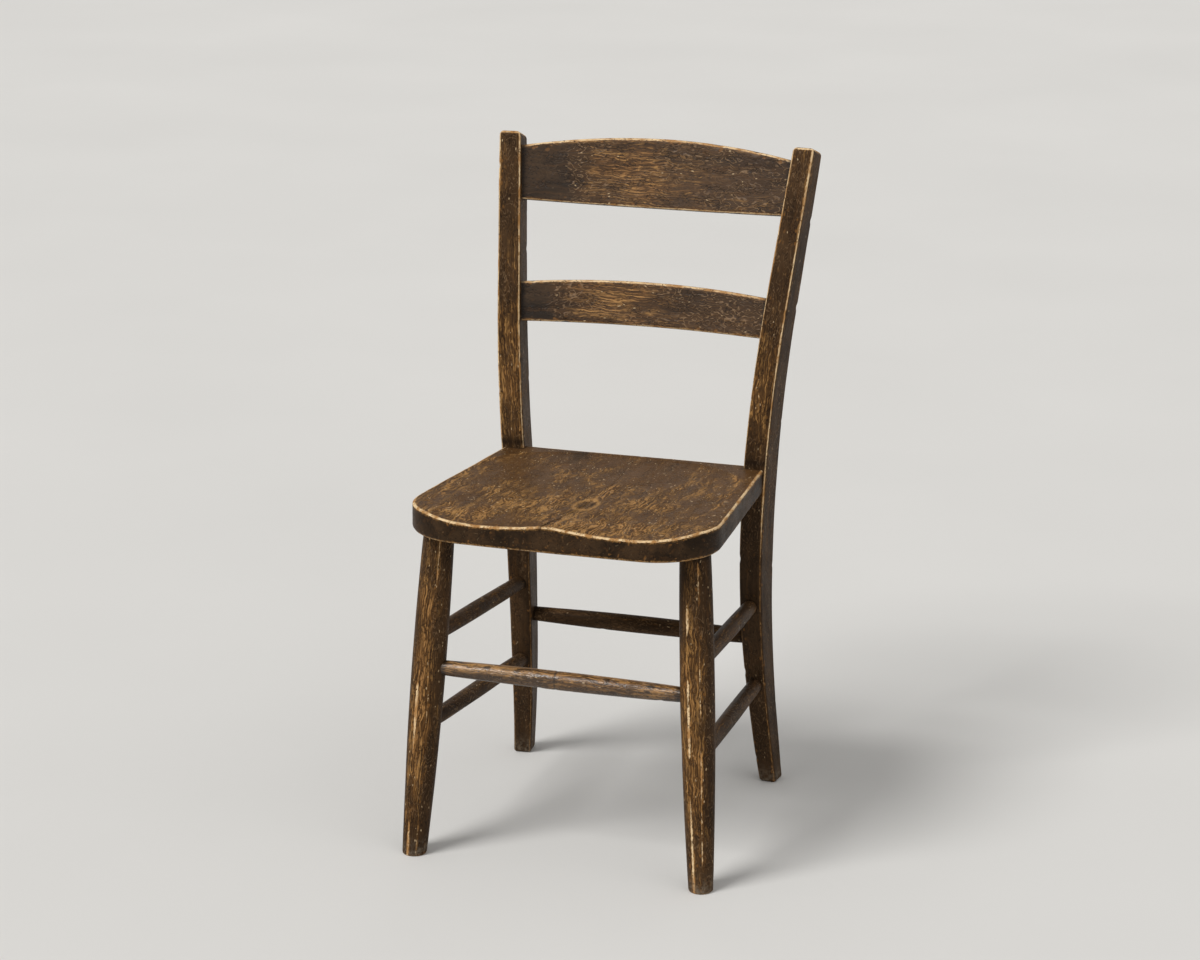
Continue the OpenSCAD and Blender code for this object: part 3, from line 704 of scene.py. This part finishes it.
back_rail("crest_rail", CREST_Z, CREST_H, CREST_ARCH, CREST_LIFT, CREST_LEAN, 37, -25)
back_rail("mid_rail", MID_Z, MID_H, MID_ARCH, MID_LIFT, MID_LEAN, 41, -35)


# ---------- turned pieces

# Distance between the rings of a turned piece, and the rounding of a leg's foot
RING_STEP, ROD_FOOT_ROUND = 2.3, 2.2


def rod_rings(length, round_foot):
    """Rings of a turned piece: place from 0 to 1, inset, and share of the full radius."""
    rings = [(place, 0.0, 1) for place in np.linspace(0, 1, int(length / RING_STEP) + 1)]
    if not round_foot:
        return rings
    foot = [(0.0, ROD_FOOT_ROUND, share) for share in (0.45, 0.8)]
    foot += [(ROD_FOOT_ROUND * (1 - math.cos(c)) / length, ROD_FOOT_ROUND * (1 - math.sin(c)), 1)
             for c in (0.0, 0.5, 1.0)]
    return foot + rings[1:]


def rod(name, start, end, radius_at, shade, seed, finish, standing=False):
    """A round piece along a line. radius_at gives its radius for each place from 0 to 1,
    and shade its fields. A standing piece has level rings, so that its foot sits flat."""
    length = norm(end - start)
    axis = (end - start) / length
    if standing:
        side_a, side_b, around = np.array([1.0, 0, 0]), np.array([0, 1.0, 0]), 60
    else:
        side_b = np.array([0, 0, 1.0]) - axis * axis[2]
        side_b /= norm(side_b)
        side_a, around = np.cross(side_b, axis), 44
    rings = rod_rings(length, standing)
    place, inset, share = np.repeat(rings, around, axis=0).T
    theta = np.tile(np.arange(around) * 2 * math.pi / around, len(rings))
    cos, sin = np.cos(theta), np.sin(theta)
    radius = (radius_at(place) - inset) * share
    out = cos[:, None] * side_a + sin[:, None] * side_b
    unrolled = stack(cos * 20, sin * 20, place * length)
    shake = 0.22 * noise(unrolled, (16, 16, 90), seed)
    shake += 0.10 * noise(unrolled, (5, 5, 44), seed + 1)
    shake -= 0.25 * smooth(0.45, 0.8, noise(unrolled, (4, 4, 60), seed + 2))
    points = start + (end - start) * place[:, None] + out * (radius + shake * (share == 1))[:, None]
    spots = [(*points[int(pick * (len(points) - 1))], 3 + 4 * big, 0.3 + 0.5 * big)
             for pick, _, big in scattered(26, seed)]
    points = dents(points, out, spots)
    grain = stack(cos * radius + GRAIN_SHIFT * seed, sin * radius, place * length)
    build_swept(name, points, around, grain, shade(points, place, theta, unrolled), finish)


# Directions, in degrees, that a front leg's rubbing and its two pale stripes face, and how strong
# the stripes are. The stripes are painted highlights down the leg's lit side, laid as worn arrises.
LEG_FACING, LEG_HIGHLIGHT_STRIPES = -95, ((-106, 0.8), (-64, 0.45))


def front_leg(name, side, seed):
    def radius_at(place):
        t = np.clip(place * LEG_END_Z / LEG_TOP[2], 0, 1)
        below = (LEG_D - LEG_D_FOOT) / 2 * np.clip(1 - t / LEG_WIDEST, 0, 1) ** 1.7
        above = (LEG_D - LEG_D_TOP) / 2 * np.clip((t - LEG_WIDEST) / (1 - LEG_WIDEST), 0, 1) ** 2
        return LEG_D / 2 - below - above

    def shade(points, place, theta, unrolled):
        z = points[:, 2]
        edge = 0.7 + abs(z - 1.0) / 2.0
        # Painted highlight stripes: pale bared lines down the side of the leg that the light falls
        # on.
        for azimuth, strength in LEG_HIGHLIGHT_STRIPES:
            turn = abs(np.angle(np.exp(1j * (theta - math.radians(azimuth)))))
            gate = smooth(-0.35, 0.25, noise(unrolled * [0, 0, 1] + azimuth, 46, seed + 5))
            gate = np.maximum(gate * strength, 0.05)
            edge = np.minimum(edge, 0.05 + turn * 19 / (3.0 * gate))
        facing = np.clip(np.cos(theta - math.radians(LEG_FACING)), 0, 1)
        rub = -0.04 + facing ** 2 * 0.70 * bell(z, 215, 180)
        rub += 0.10 * noise(unrolled, (14, 14, 90), seed + 3)
        # The top of the leg, just under the seat, is darker: dirt, and painted shade under the
        # seat.
        return {"edge": np.minimum(edge, 9.0), "rub": rub, "dust": 1 - smooth(0, 30, z),
                "grime_and_shade": 0.9 * smooth(-13.5, -4.5, z - LEG_TOP[2])}

    rod(name, mirror(LEG_FOOT, side), mirror(leg_point(LEG_END_Z), side), radius_at, shade,
        seed, PAINTED, standing=True)


front_leg("front_leg_left", -1, 53)
front_leg("front_leg_right", 1, 59)

# How far a stretcher's end stops short of a front leg's axis, and the lengths of stretcher
# inside a front leg, inside a rear leg, and of a side stretcher inside a rear leg
AXIS_GAP, IN_FRONT_LEG, IN_REAR_LEG, SIDE_IN_REAR_LEG = 13.0, 8.0, 8.0, 9.0
# A line scored round the front stretcher, this far to the left of its middle
SCORE_SHIFT = 5.4


def stretcher(name, start, end, bury_start, bury_end, d_mid, seed, finish, rub_level,
              score_at=math.inf):
    """A barrel-shaped stretcher; the lengths bury_start and bury_end of it are straight and
    housed. score_at is the place of a scored line along it, if there is one."""
    length = norm(end - start)
    free = length - bury_start - bury_end

    def radius_at(place):
        s = np.clip((place * length - bury_start) / free, 0, 1)
        r = (STR_D_END + (d_mid - STR_D_END) * (1 - (2 * s - 1) ** 2)) / 2
        return r - 0.5 * bell(place * length, score_at, 1.1)

    def shade(points, place, theta, unrolled):
        at = place * length
        top = np.clip(np.sin(theta), 0, 1)
        near_end = np.minimum(at - bury_start, length - bury_end - at)
        # Darker at the ends and in the scored line: dirt, and painted shade at the joints and in
        # the groove.
        grime_and_shade = 0.9 * (1 - smooth(1, 8, near_end)) + 0.8 * bell(at, score_at, 1.4)
        rub = rub_level * (0.3 + 0.7 * top) + 0.2 * noise(unrolled, (9, 9, 60), seed + 3)
        return {"rub": rub, "grime_and_shade": grime_and_shade}

    rod(name, start, end, radius_at, shade, seed, finish)


def stretchers():
    front = leg_point(FRONT_STR_Z) - [AXIS_GAP, 0, 0]
    stretcher("front_stretcher", mirror(front, -1), front, IN_FRONT_LEG, IN_FRONT_LEG, STR_D_MID,
              61, STRETCHER_WOOD, 0.78, score_at=front[0] - SCORE_SHIFT)
    z = REAR_STR_Z
    rear = post_point(post_mid(z) - post_width(z) / 2, post_front(z) + post_depth(z) / 2, z)
    rear = rear + [IN_REAR_LEG, 0, 0]
    stretcher("rear_stretcher", mirror(rear, -1), rear, IN_REAR_LEG, IN_REAR_LEG, STR_D_MID,
              67, PAINTED, 0.16)
    for side, word in ((-1, "left"), (1, "right")):
        for level, (z_front, z_rear) in SIDE_STR_Z.items():
            a = mirror(leg_point(z_front), side)
            b = mirror(post_point(post_mid(z_rear), post_front(z_rear), z_rear), side)
            run = (b - a) / norm(b - a)
            seed = 71 + 6 * (side + 1) + (3 if level == "lower" else 0)
            stretcher(f"side_stretcher_{word}_{level}", a + run * AXIS_GAP,
                      b + run * SIDE_IN_REAR_LEG, IN_FRONT_LEG, SIDE_IN_REAR_LEG,
                      SIDE_STR_D_MID, seed, PAINTED, 0.18)


stretchers()


# ---------- seat

# The seat is modelled in its own frame: x across, y from its front edge to the rear, and z
# up from its flat top.
FRONT_R = ((SEAT_W_FRONT / 2) ** 2 + SEAT_BOW ** 2) / (2 * SEAT_BOW)
RIM, UNDER_BEVEL = 2.2, 7.0
# Distances from the worn arris to the first four rings below the top
RIM_DISTANCE = (0.3, 0.0, 0.5, 1.3)
SEAT_ROWS, LEFT_COLUMNS, RIGHT_COLUMNS = 156, 80, 76
# Points that the split wanders through, from the front edge to the rear
SPLIT = np.array([[-5, 0], [-2, 14], [3, 60], [11, 125], [12, 220], [7, 300], [6, SEAT_D]], float)
# Its half width, its depth, and its dirt and painted shade: places along y, and the values there
SPLIT_HALF_WIDTH = ([0, 12, 40, 300], [0.9, 0.6, 0.3, 0.15])
SPLIT_DEPTH = ([0, 14, 40, 290, 305], [3.4, 1.8, 0.6, 0.15, 0.0])
SPLIT_GRIME_AND_SHADE = ([0, 12, 40, 120, 150], [1, 0.9, 0.45, 0.35, 0])


def seat_half_outline(inset):
    """Right half of the seat's outline: rear corner, side, front corner arc, front middle.
    Also gives the number of the point at the arc's middle."""
    side_end, side_start = np.array([[SEAT_W_BACK / 2, SEAT_D], [SEAT_W_FRONT / 2, SEAT_BOW]])
    along = (side_end - side_start) / norm(side_end - side_start)
    inward = np.array([-along[1], along[0]])
    start = side_start + inward * SEAT_CORNER_R - [0, FRONT_R]
    p, q = along @ start, start @ start - (FRONT_R - SEAT_CORNER_R) ** 2
    middle = start + [0, FRONT_R] - along * (p + math.sqrt(p * p - q))
    turn = math.atan2(middle[1] - FRONT_R, middle[0])

    def arc(centre, radius, angles):
        return centre + radius * stack(np.cos(angles), np.sin(angles))

    curve = arc(middle, SEAT_CORNER_R - inset,
                np.linspace(math.atan2(-inward[1], -inward[0]), turn, 61))
    rear_y = SEAT_D - inset
    rear_x = side_start[0] + ((rear_y - side_start[1]) * along[0] + inset * inward[0]) / along[1]
    side = np.linspace([rear_x, rear_y], curve[0], 100)[:-1]
    front = arc([0, FRONT_R], FRONT_R - inset, np.linspace(turn, -math.pi / 2, 61)[1:])
    return np.vstack([side, curve, front]), len(side) + 30


def spaced(curve, count):
    """count points at even spacing along a polyline."""
    run = np.concatenate([[0], np.cumsum(norm(np.diff(curve, axis=0), axis=1))])
    at = np.linspace(0, run[-1], count)
    return stack(*(np.interp(at, run, curve[:, k]) for k in (0, 1)))


def split_x(y):
    """Where the split is at each y."""
    along = stack(0, y, 0)
    wander = 0.7 * noise(along, 9, 5) + 0.35 * noise(along, 3.4, 6)
    return np.interp(y, SPLIT[:, 1], SPLIT[:, 0]) + wander


def patch(side, columns):
    """Points of one side of the seat's top, from the split out to the rim, as rows from
    front to rear of columns from the split outwards."""
    outline, corner = seat_half_outline(RIM)
    flank = spaced(outline[:corner + 1], SEAT_ROWS)[::-1] * [side, 1]
    front_y = outline[-1, 1]
    start_x = split_x(np.array([front_y]))[0]
    nose = outline[corner:] * [side, 1]
    if side * start_x < 0:
        nose = np.vstack([nose, -nose[::-1][1:] * [1, -1]])
    keep = side * nose[:, 0] > side * start_x
    nose = spaced(np.vstack([nose[keep], [start_x, front_y]])[::-1], columns)
    seam_y = front_y + (SEAT_D - RIM - front_y) * np.linspace(0, 1, SEAT_ROWS)
    seam = stack(split_x(seam_y), seam_y)
    tail = np.linspace(seam[-1], flank[-1], columns)
    # Blended from the four sides, less what the corners add twice
    u = np.linspace(0, 1, columns)[None, :, None]
    v = np.linspace(0, 1, SEAT_ROWS)[:, None, None]
    grid = (1 - v) * nose[None] + v * tail[None] + (1 - u) * seam[:, None] + u * flank[:, None]
    grid = grid - (1 - u) * (1 - v) * nose[0] - u * (1 - v) * nose[-1]
    return grid - (1 - u) * v * tail[0] - u * v * tail[-1]


def dish_reach(x, y):
    """0 at the middle of the seat's broad hollow and 1 at its rim."""
    across = abs(x) / np.where(x < 0, 176, 165)
    along = abs(y - 200) / np.where(y > 200, 150, 176)
    return (across ** 3 + along ** 3) ** (1 / 3)


def saddle(x, y):
    """Depth of the seat's hollow and of its two leg troughs at each point."""
    bowl = 4.6 * np.clip(1 - dish_reach(x, y) ** 3, 0, 1) ** 0.6
    fade = np.clip(1 - y / (0.62 * SEAT_D), 0, 1)
    left = np.clip(1 - ((x + 80) / 74) ** 2, 0, 1)
    right = np.clip(1 - ((x - 92) / 84) ** 2, 0, 1)
    trough = 6.5 * fade * np.maximum(left, right)
    return (bowl ** 3 + trough ** 3) ** (1 / 3)


def seat_top():
    """The top's points, row by row from the front, with the split's groove down one column."""
    left, right = patch(-1, LEFT_COLUMNS), patch(1, RIGHT_COLUMNS)
    grid = np.concatenate([left[:, :0:-1], right], 1)
    centre = LEFT_COLUMNS - 1
    seam = grid[:, centre].copy()
    width = np.interp(seam[:, 1], *SPLIT_HALF_WIDTH)
    for offset in (-1, 1):
        grid[:, centre + offset] = stack(seam[:, 0] + offset * width, seam[:, 1])
    groove = np.zeros(grid.shape[:2])
    groove[:, centre] = np.interp(seam[:, 1], *SPLIT_DEPTH)
    x, y = grid.reshape(-1, 2).T
    plane = stack(x, y, 0)
    z = -saddle(x, y) - groove.ravel()
    z = z + 0.30 * noise(plane, (45, 80, 1), 3) + 0.10 * noise(plane, (7, 38, 1), 4)
    return stack(x, y, z - 0.35 * smooth(0.5, 0.85, noise(plane, (9, 9, 1), 8)))


def seat_wall(ring):
    """Rings over the arris, down the side and under the lower bevel, each as its points and
    their distance over the surface from the worn arris."""
    run = (np.roll(ring, -3, 0) - np.roll(ring, 3, 0))[:, :2]
    out = stack(run[:, 1], -run[:, 0]) / norm(run, axis=1)[:, None]
    notch_at = LEFT_COLUMNS - 1
    rim_z = np.array(ring[:, 2])
    rim_z[notch_at] = (rim_z[notch_at - 1] + rim_z[notch_at + 1]) / 2
    layers = [(RIM * math.sin(c), rim_z - RIM * (1 - math.cos(c)))
              for c in np.radians((24, 48, 70, 90))]
    layers += [(RIM, (rim_z - RIM) * (1 - k) + (UNDER_BEVEL - SEAT_T) * k)
               for k in np.linspace(0, 1, 13)[1:]]
    layers += [(RIM - push, -SEAT_T + rise * UNDER_BEVEL)
               for push, rise in ((0.5, 0.66), (1.9, 0.36), (4.2, 0.13), (7.2, 0.0))]
    rings = []
    for number, (push, height) in enumerate(layers):
        place = ring[:, :2] + out * push
        place[notch_at] -= out[notch_at] * max(2.6 - 0.5 * number, 0.05)
        spot = stack(*place.T, height)
        wobble = 0.25 * noise(spot, (50, 50, 30), 12) + 0.10 * noise(spot, (9, 9, 7), 13)
        distance = RIM_DISTANCE[number] if number < 4 else 1.9 * number - 5.5
        rings.append((stack(*(place + out * wobble[:, None]).T, height), distance))
    return rings


def seat():
    top = seat_top()
    index = np.arange(len(top)).reshape(SEAT_ROWS, -1)
    loop = np.concatenate([index[0, :-1], index[:-1, -1], index[-1, :0:-1], index[:0:-1, 0]])
    faces = np.stack([index[:-1, :-1], index[:-1, 1:], index[1:, 1:], index[1:, :-1]],
                     -1).reshape(-1, 4).tolist()
    rings = seat_wall(top[loop])
    base, middle = rings[-1][0], np.array([0, SEAT_D / 2, -SEAT_T])
    far_from_arris = 60.0
    for k in (0.93, 0.86, 0.78, 0.7, 0.62, 0.54, 0.46, 0.38, 0.3, 0.22, 0.14, 0.07):
        inner = middle + (base - middle) * k
        inner[:, 2] += 0.35 * noise(inner, (60, 60, 10), 15)
        rings.append((inner, far_from_arris))
    before = loop
    for number in range(len(rings)):
        now = len(top) + number * len(loop) + np.arange(len(loop))
        faces += np.stack([before, now, np.roll(now, -1), np.roll(before, -1)], -1).tolist()
        before = now
    points = np.vstack([top, *(ring for ring, _ in rings), middle])
    faces += fan(len(points) - 1, before.tolist(), True)
    distance = np.concatenate([nearest_distance(top[:, :2], top[loop][:, :2]) + 0.25,
                               *(np.full(len(loop), far) for _, far in rings),
                               [far_from_arris]])
    x, y, z = points.T
    c, s = math.cos(SEAT_PITCH), math.sin(SEAT_PITCH)
    world = stack(x, y * c + z * s + SEAT_FRONT_Y, z * c - y * s + SEAT_H)
    fields = seat_fields(points, distance, np.arange(len(points)) < len(top))
    build("seat", world, faces, stack(x, z, y), fields, SEAT_WOOD)


def nearest_distance(points, others):
    """Distance from each point to the nearest of the others."""
    batches = (points[i:i + 2000, None] - others[None] for i in range(0, len(points), 2000))
    return np.concatenate([np.sqrt((gap ** 2).sum(-1).min(1)) for gap in batches])


def seat_fields(points, distance, is_top):
    """Wear of the seat. The arris is worn widest at the front, and the lower edge a little. Dirt
    and painted shade lie in the split and round the posts.
    """
    x, y, z = points.T
    plane = stack(x, y, 0)
    band = 0.9 + 1.5 * (1 - smooth(20, 110, y)) + 0.3 * noise(plane, (34, 34, 1), 19)
    edge = distance / np.where(is_top, band, 1.3)
    low_edge = abs(z + SEAT_T - 2.5) / 2.0 + 0.55
    edge = np.where(is_top | (distance > 50), edge, np.minimum(edge, low_edge))
    # Darker along the split and round the posts on the top: dirt, and painted shade in the split
    # and at the joints.
    from_split = abs(x - split_x(y))
    grime_and_shade = (1 - smooth(0.2, 1.8, from_split)) * np.interp(y, *SPLIT_GRIME_AND_SHADE)
    grime_and_shade = grime_and_shade * np.where(is_top, 1, 0.8 * smooth(-12, -2, z))
    post_x, post_y = post_place(post_mid(SEAT_H), post_front(SEAT_H) + 15, 1)
    away = np.maximum(abs(abs(x) - post_x), abs(y + SEAT_FRONT_Y - post_y)) - 15
    grime_and_shade = np.maximum(grime_and_shade, 0.85 * is_top * (1 - smooth(0, 7, away)))
    return {"edge": edge, "rub": np.where(is_top, seat_rub(x, y), -0.3), "grime_and_shade": grime_and_shade}


# Patches of the seat that sitting has worn most: strength, then middle and reach across,
# and middle and reach from front to rear
WORN_PATCHES = ((0.60, 74, 60, 36, 46), (0.26, -78, 55, 112, 66), (0.26, 58, 50, 140, 48),
                (0.22, -120, 50, 36, 34))


def seat_rub(x, y):
    """How far the seat's top is worn: by sitting, beside the split, past the knot, and along
    the crease at the sides of the hollow."""
    plane = stack(x, y, 0)
    rub = 0.20 - 0.2 * smooth(250, 345, y)
    for strength, at_x, reach_x, at_y, reach_y in WORN_PATCHES:
        rub += strength * bell(x, at_x, reach_x) * bell(y, at_y, reach_y)
    rub += 0.20 * noise(plane, (34, 52, 1), 23) + 0.10 * noise(plane, (14, 24, 1), 24)
    past_split = x - split_x(y)
    rub += 0.65 * bell(past_split, 3.0, 3.2) * bell(y, 105, 95)
    rub += 0.75 * bell(past_split, 5.0, 6.0) * bell(y, 182, 30)
    crease = abs(dish_reach(x, y) - 1) * 165
    at_sides = smooth(120, 150, abs(x)) * smooth(70, 130, y)
    gate = 0.6 + 0.4 * noise(plane, (30, 30, 1), 29)
    return rub + at_sides * gate * 0.65 * bell(crease, 0, 2.6)


seat()


# ---------- pegs and screws

# Rings of a peg from its domed end inwards: share of its radius, and depth below the post's
# front face. Then the depths of the middles of its ends.
PEG_RINGS = ((0.35, -0.62), (0.7, -0.5), (0.9, -0.3), (1.0, 0.05), (1.0, 4.0), (1.0, 12.0))
PEG_TIP, PEG_TAIL = -0.66, 12


def peg(name, side, z, lean, seed):
    """A peg's end, a little proud of the post's front face, and its shank."""
    start = mirror(post_point(post_mid(z), post_front(z), z), side)
    into = np.array([side * math.sin(POST_TOE), math.cos(POST_TOE) * math.cos(lean),
                     -math.sin(lean)])
    into /= norm(into)
    side_a = np.cross(into, [0, 0, 1.0])
    side_a /= norm(side_a)
    side_b = np.cross(side_a, into)
    around = 24
    theta = np.tile(np.arange(around) * 2 * math.pi / around, len(PEG_RINGS))
    share, depth = np.repeat(PEG_RINGS, around, axis=0).T
    radius = PEG_D / 2 * share * (1 + 0.03 * np.cos(3 * theta + seed))
    local = stack(np.cos(theta) * radius, np.sin(theta) * radius, depth)
    local = np.vstack([local, [0, 0, PEG_TIP], [0, 0, PEG_TAIL]])
    points = start + local @ np.array([side_a, side_b, into])
    # The rim of the peg's end and its shank are dark: a painted shadow ring round the end.
    fields = {"edge": np.append(np.full(len(share), 2.1), (2.1, 9)), "rub": 0.2,
              "grime_and_shade": np.append(np.where(share < 0.85, 0.0, 0.9), (0, 1))}
    build(name, points, tube_faces(len(PEG_RINGS), around, inside_out=True),
          local + [37 * seed, 0, 0], fields, PEG_WOOD)


def pegs():
    seed = 3
    for side, word in ((-1, "left"), (1, "right")):
        for node, z, lean in ((f"crest_peg_{word}_upper", CREST_Z + PEG_SPACING / 2, CREST_LEAN),
                              (f"crest_peg_{word}_lower", CREST_Z - PEG_SPACING / 2, CREST_LEAN),
                              (f"mid_peg_{word}", MID_Z, MID_LEAN)):
            peg(node, side, z, lean, seed)
            seed += 2


pegs()
for node in ("seat_screw_left", "seat_screw_right"):
    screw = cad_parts[node]
    screw.data.materials.clear()
    screw.data.materials.append(STEEL)


# ---------- floor, light and camera

def floor_finish():
    t = Nodes(bpy.data.materials.new("pale_floor"))
    at = t.new("TexCoord").outputs["Object"]
    tone = t.noise(at, 1.3, 1.3, 4.0)
    colour = t.mix(tone, srgb(214, 212, 208), srgb(222, 220, 216))
    return t.finish(colour, t.step(tone, 0.3, 0.7, 0.75, 0.85), t.noise(at, 300, 300), 0.1)


def floor():
    """A plain square floor, in metres, that runs farther behind the chair than before it."""
    reach, middle = 30.0, 12.0
    corners = [(x * reach, middle + y * reach, 0) for x, y in ((-1, -1), (1, -1), (1, 1), (-1, 1))]
    mesh = bpy.data.meshes.new("floor")
    mesh.from_pydata(corners, [], [(0, 1, 2, 3)])
    mesh.materials.append(floor_finish())
    plane = bpy.data.objects.new("floor", mesh)
    bpy.context.scene.collection.objects.link(plane)


def world_light(strength, pale):
    """Even light from all round; the camera and reflections see a plain pale ground."""
    world = bpy.data.worlds.new("studio")
    bpy.context.scene.world = world
    t = Nodes(world)
    path = t.new("LightPath").outputs
    seen = t.math("MAXIMUM", path["Is Camera Ray"], path["Is Glossy Ray"])
    light = t.new("Background", ((1, 1, 1, 1), strength))
    ground = t.new("Background", (pale,))
    blend = t.new("MixShader", (seen, light.outputs[0], ground.outputs[0]))
    t.new("OutputWorld", (blend.outputs[0],))


def sun(name, azimuth, elevation, strength, size):
    """A soft distant lamp; azimuth 0 is the chair's front, and it grows to the chair's left."""
    lamp = bpy.data.lights.new(name, "SUN")
    lamp.energy, lamp.angle = strength, math.radians(size)
    holder = bpy.data.objects.new(name, lamp)
    holder.rotation_euler = (math.radians(90 - elevation), 0, math.radians(-azimuth))
    bpy.context.scene.collection.objects.link(holder)


def camera(place, yaw, pitch, roll, focal_length):
    """A camera at a place in metres, turned left by yaw, down by pitch and round by roll."""
    lens = bpy.data.cameras.new("camera")
    lens.sensor_fit, lens.sensor_width, lens.lens = "HORIZONTAL", 36.0, focal_length
    lens.clip_end = 200
    holder = bpy.data.objects.new("camera", lens)
    holder.matrix_world = (Matrix.Translation(place) @ Matrix.Rotation(yaw, 4, "Z")
                           @ Matrix.Rotation(math.pi / 2 - pitch, 4, "X")
                           @ Matrix.Rotation(-roll, 4, "Z"))
    bpy.context.scene.collection.objects.link(holder)
    bpy.context.scene.camera = holder


floor()
world_light(strength=0.42, pale=(0.60, 0.595, 0.585, 1))
sun("key", azimuth=38, elevation=48, strength=2.1, size=24)
sun("fill", azimuth=-60, elevation=30, strength=0.5, size=60)
camera(place=(1.12228, -3.4929, 1.51575), yaw=0.313144, pitch=0.284808, roll=-0.001929,
       focal_length=92.46)
bpy.context.scene.view_settings.view_transform = "Standard"
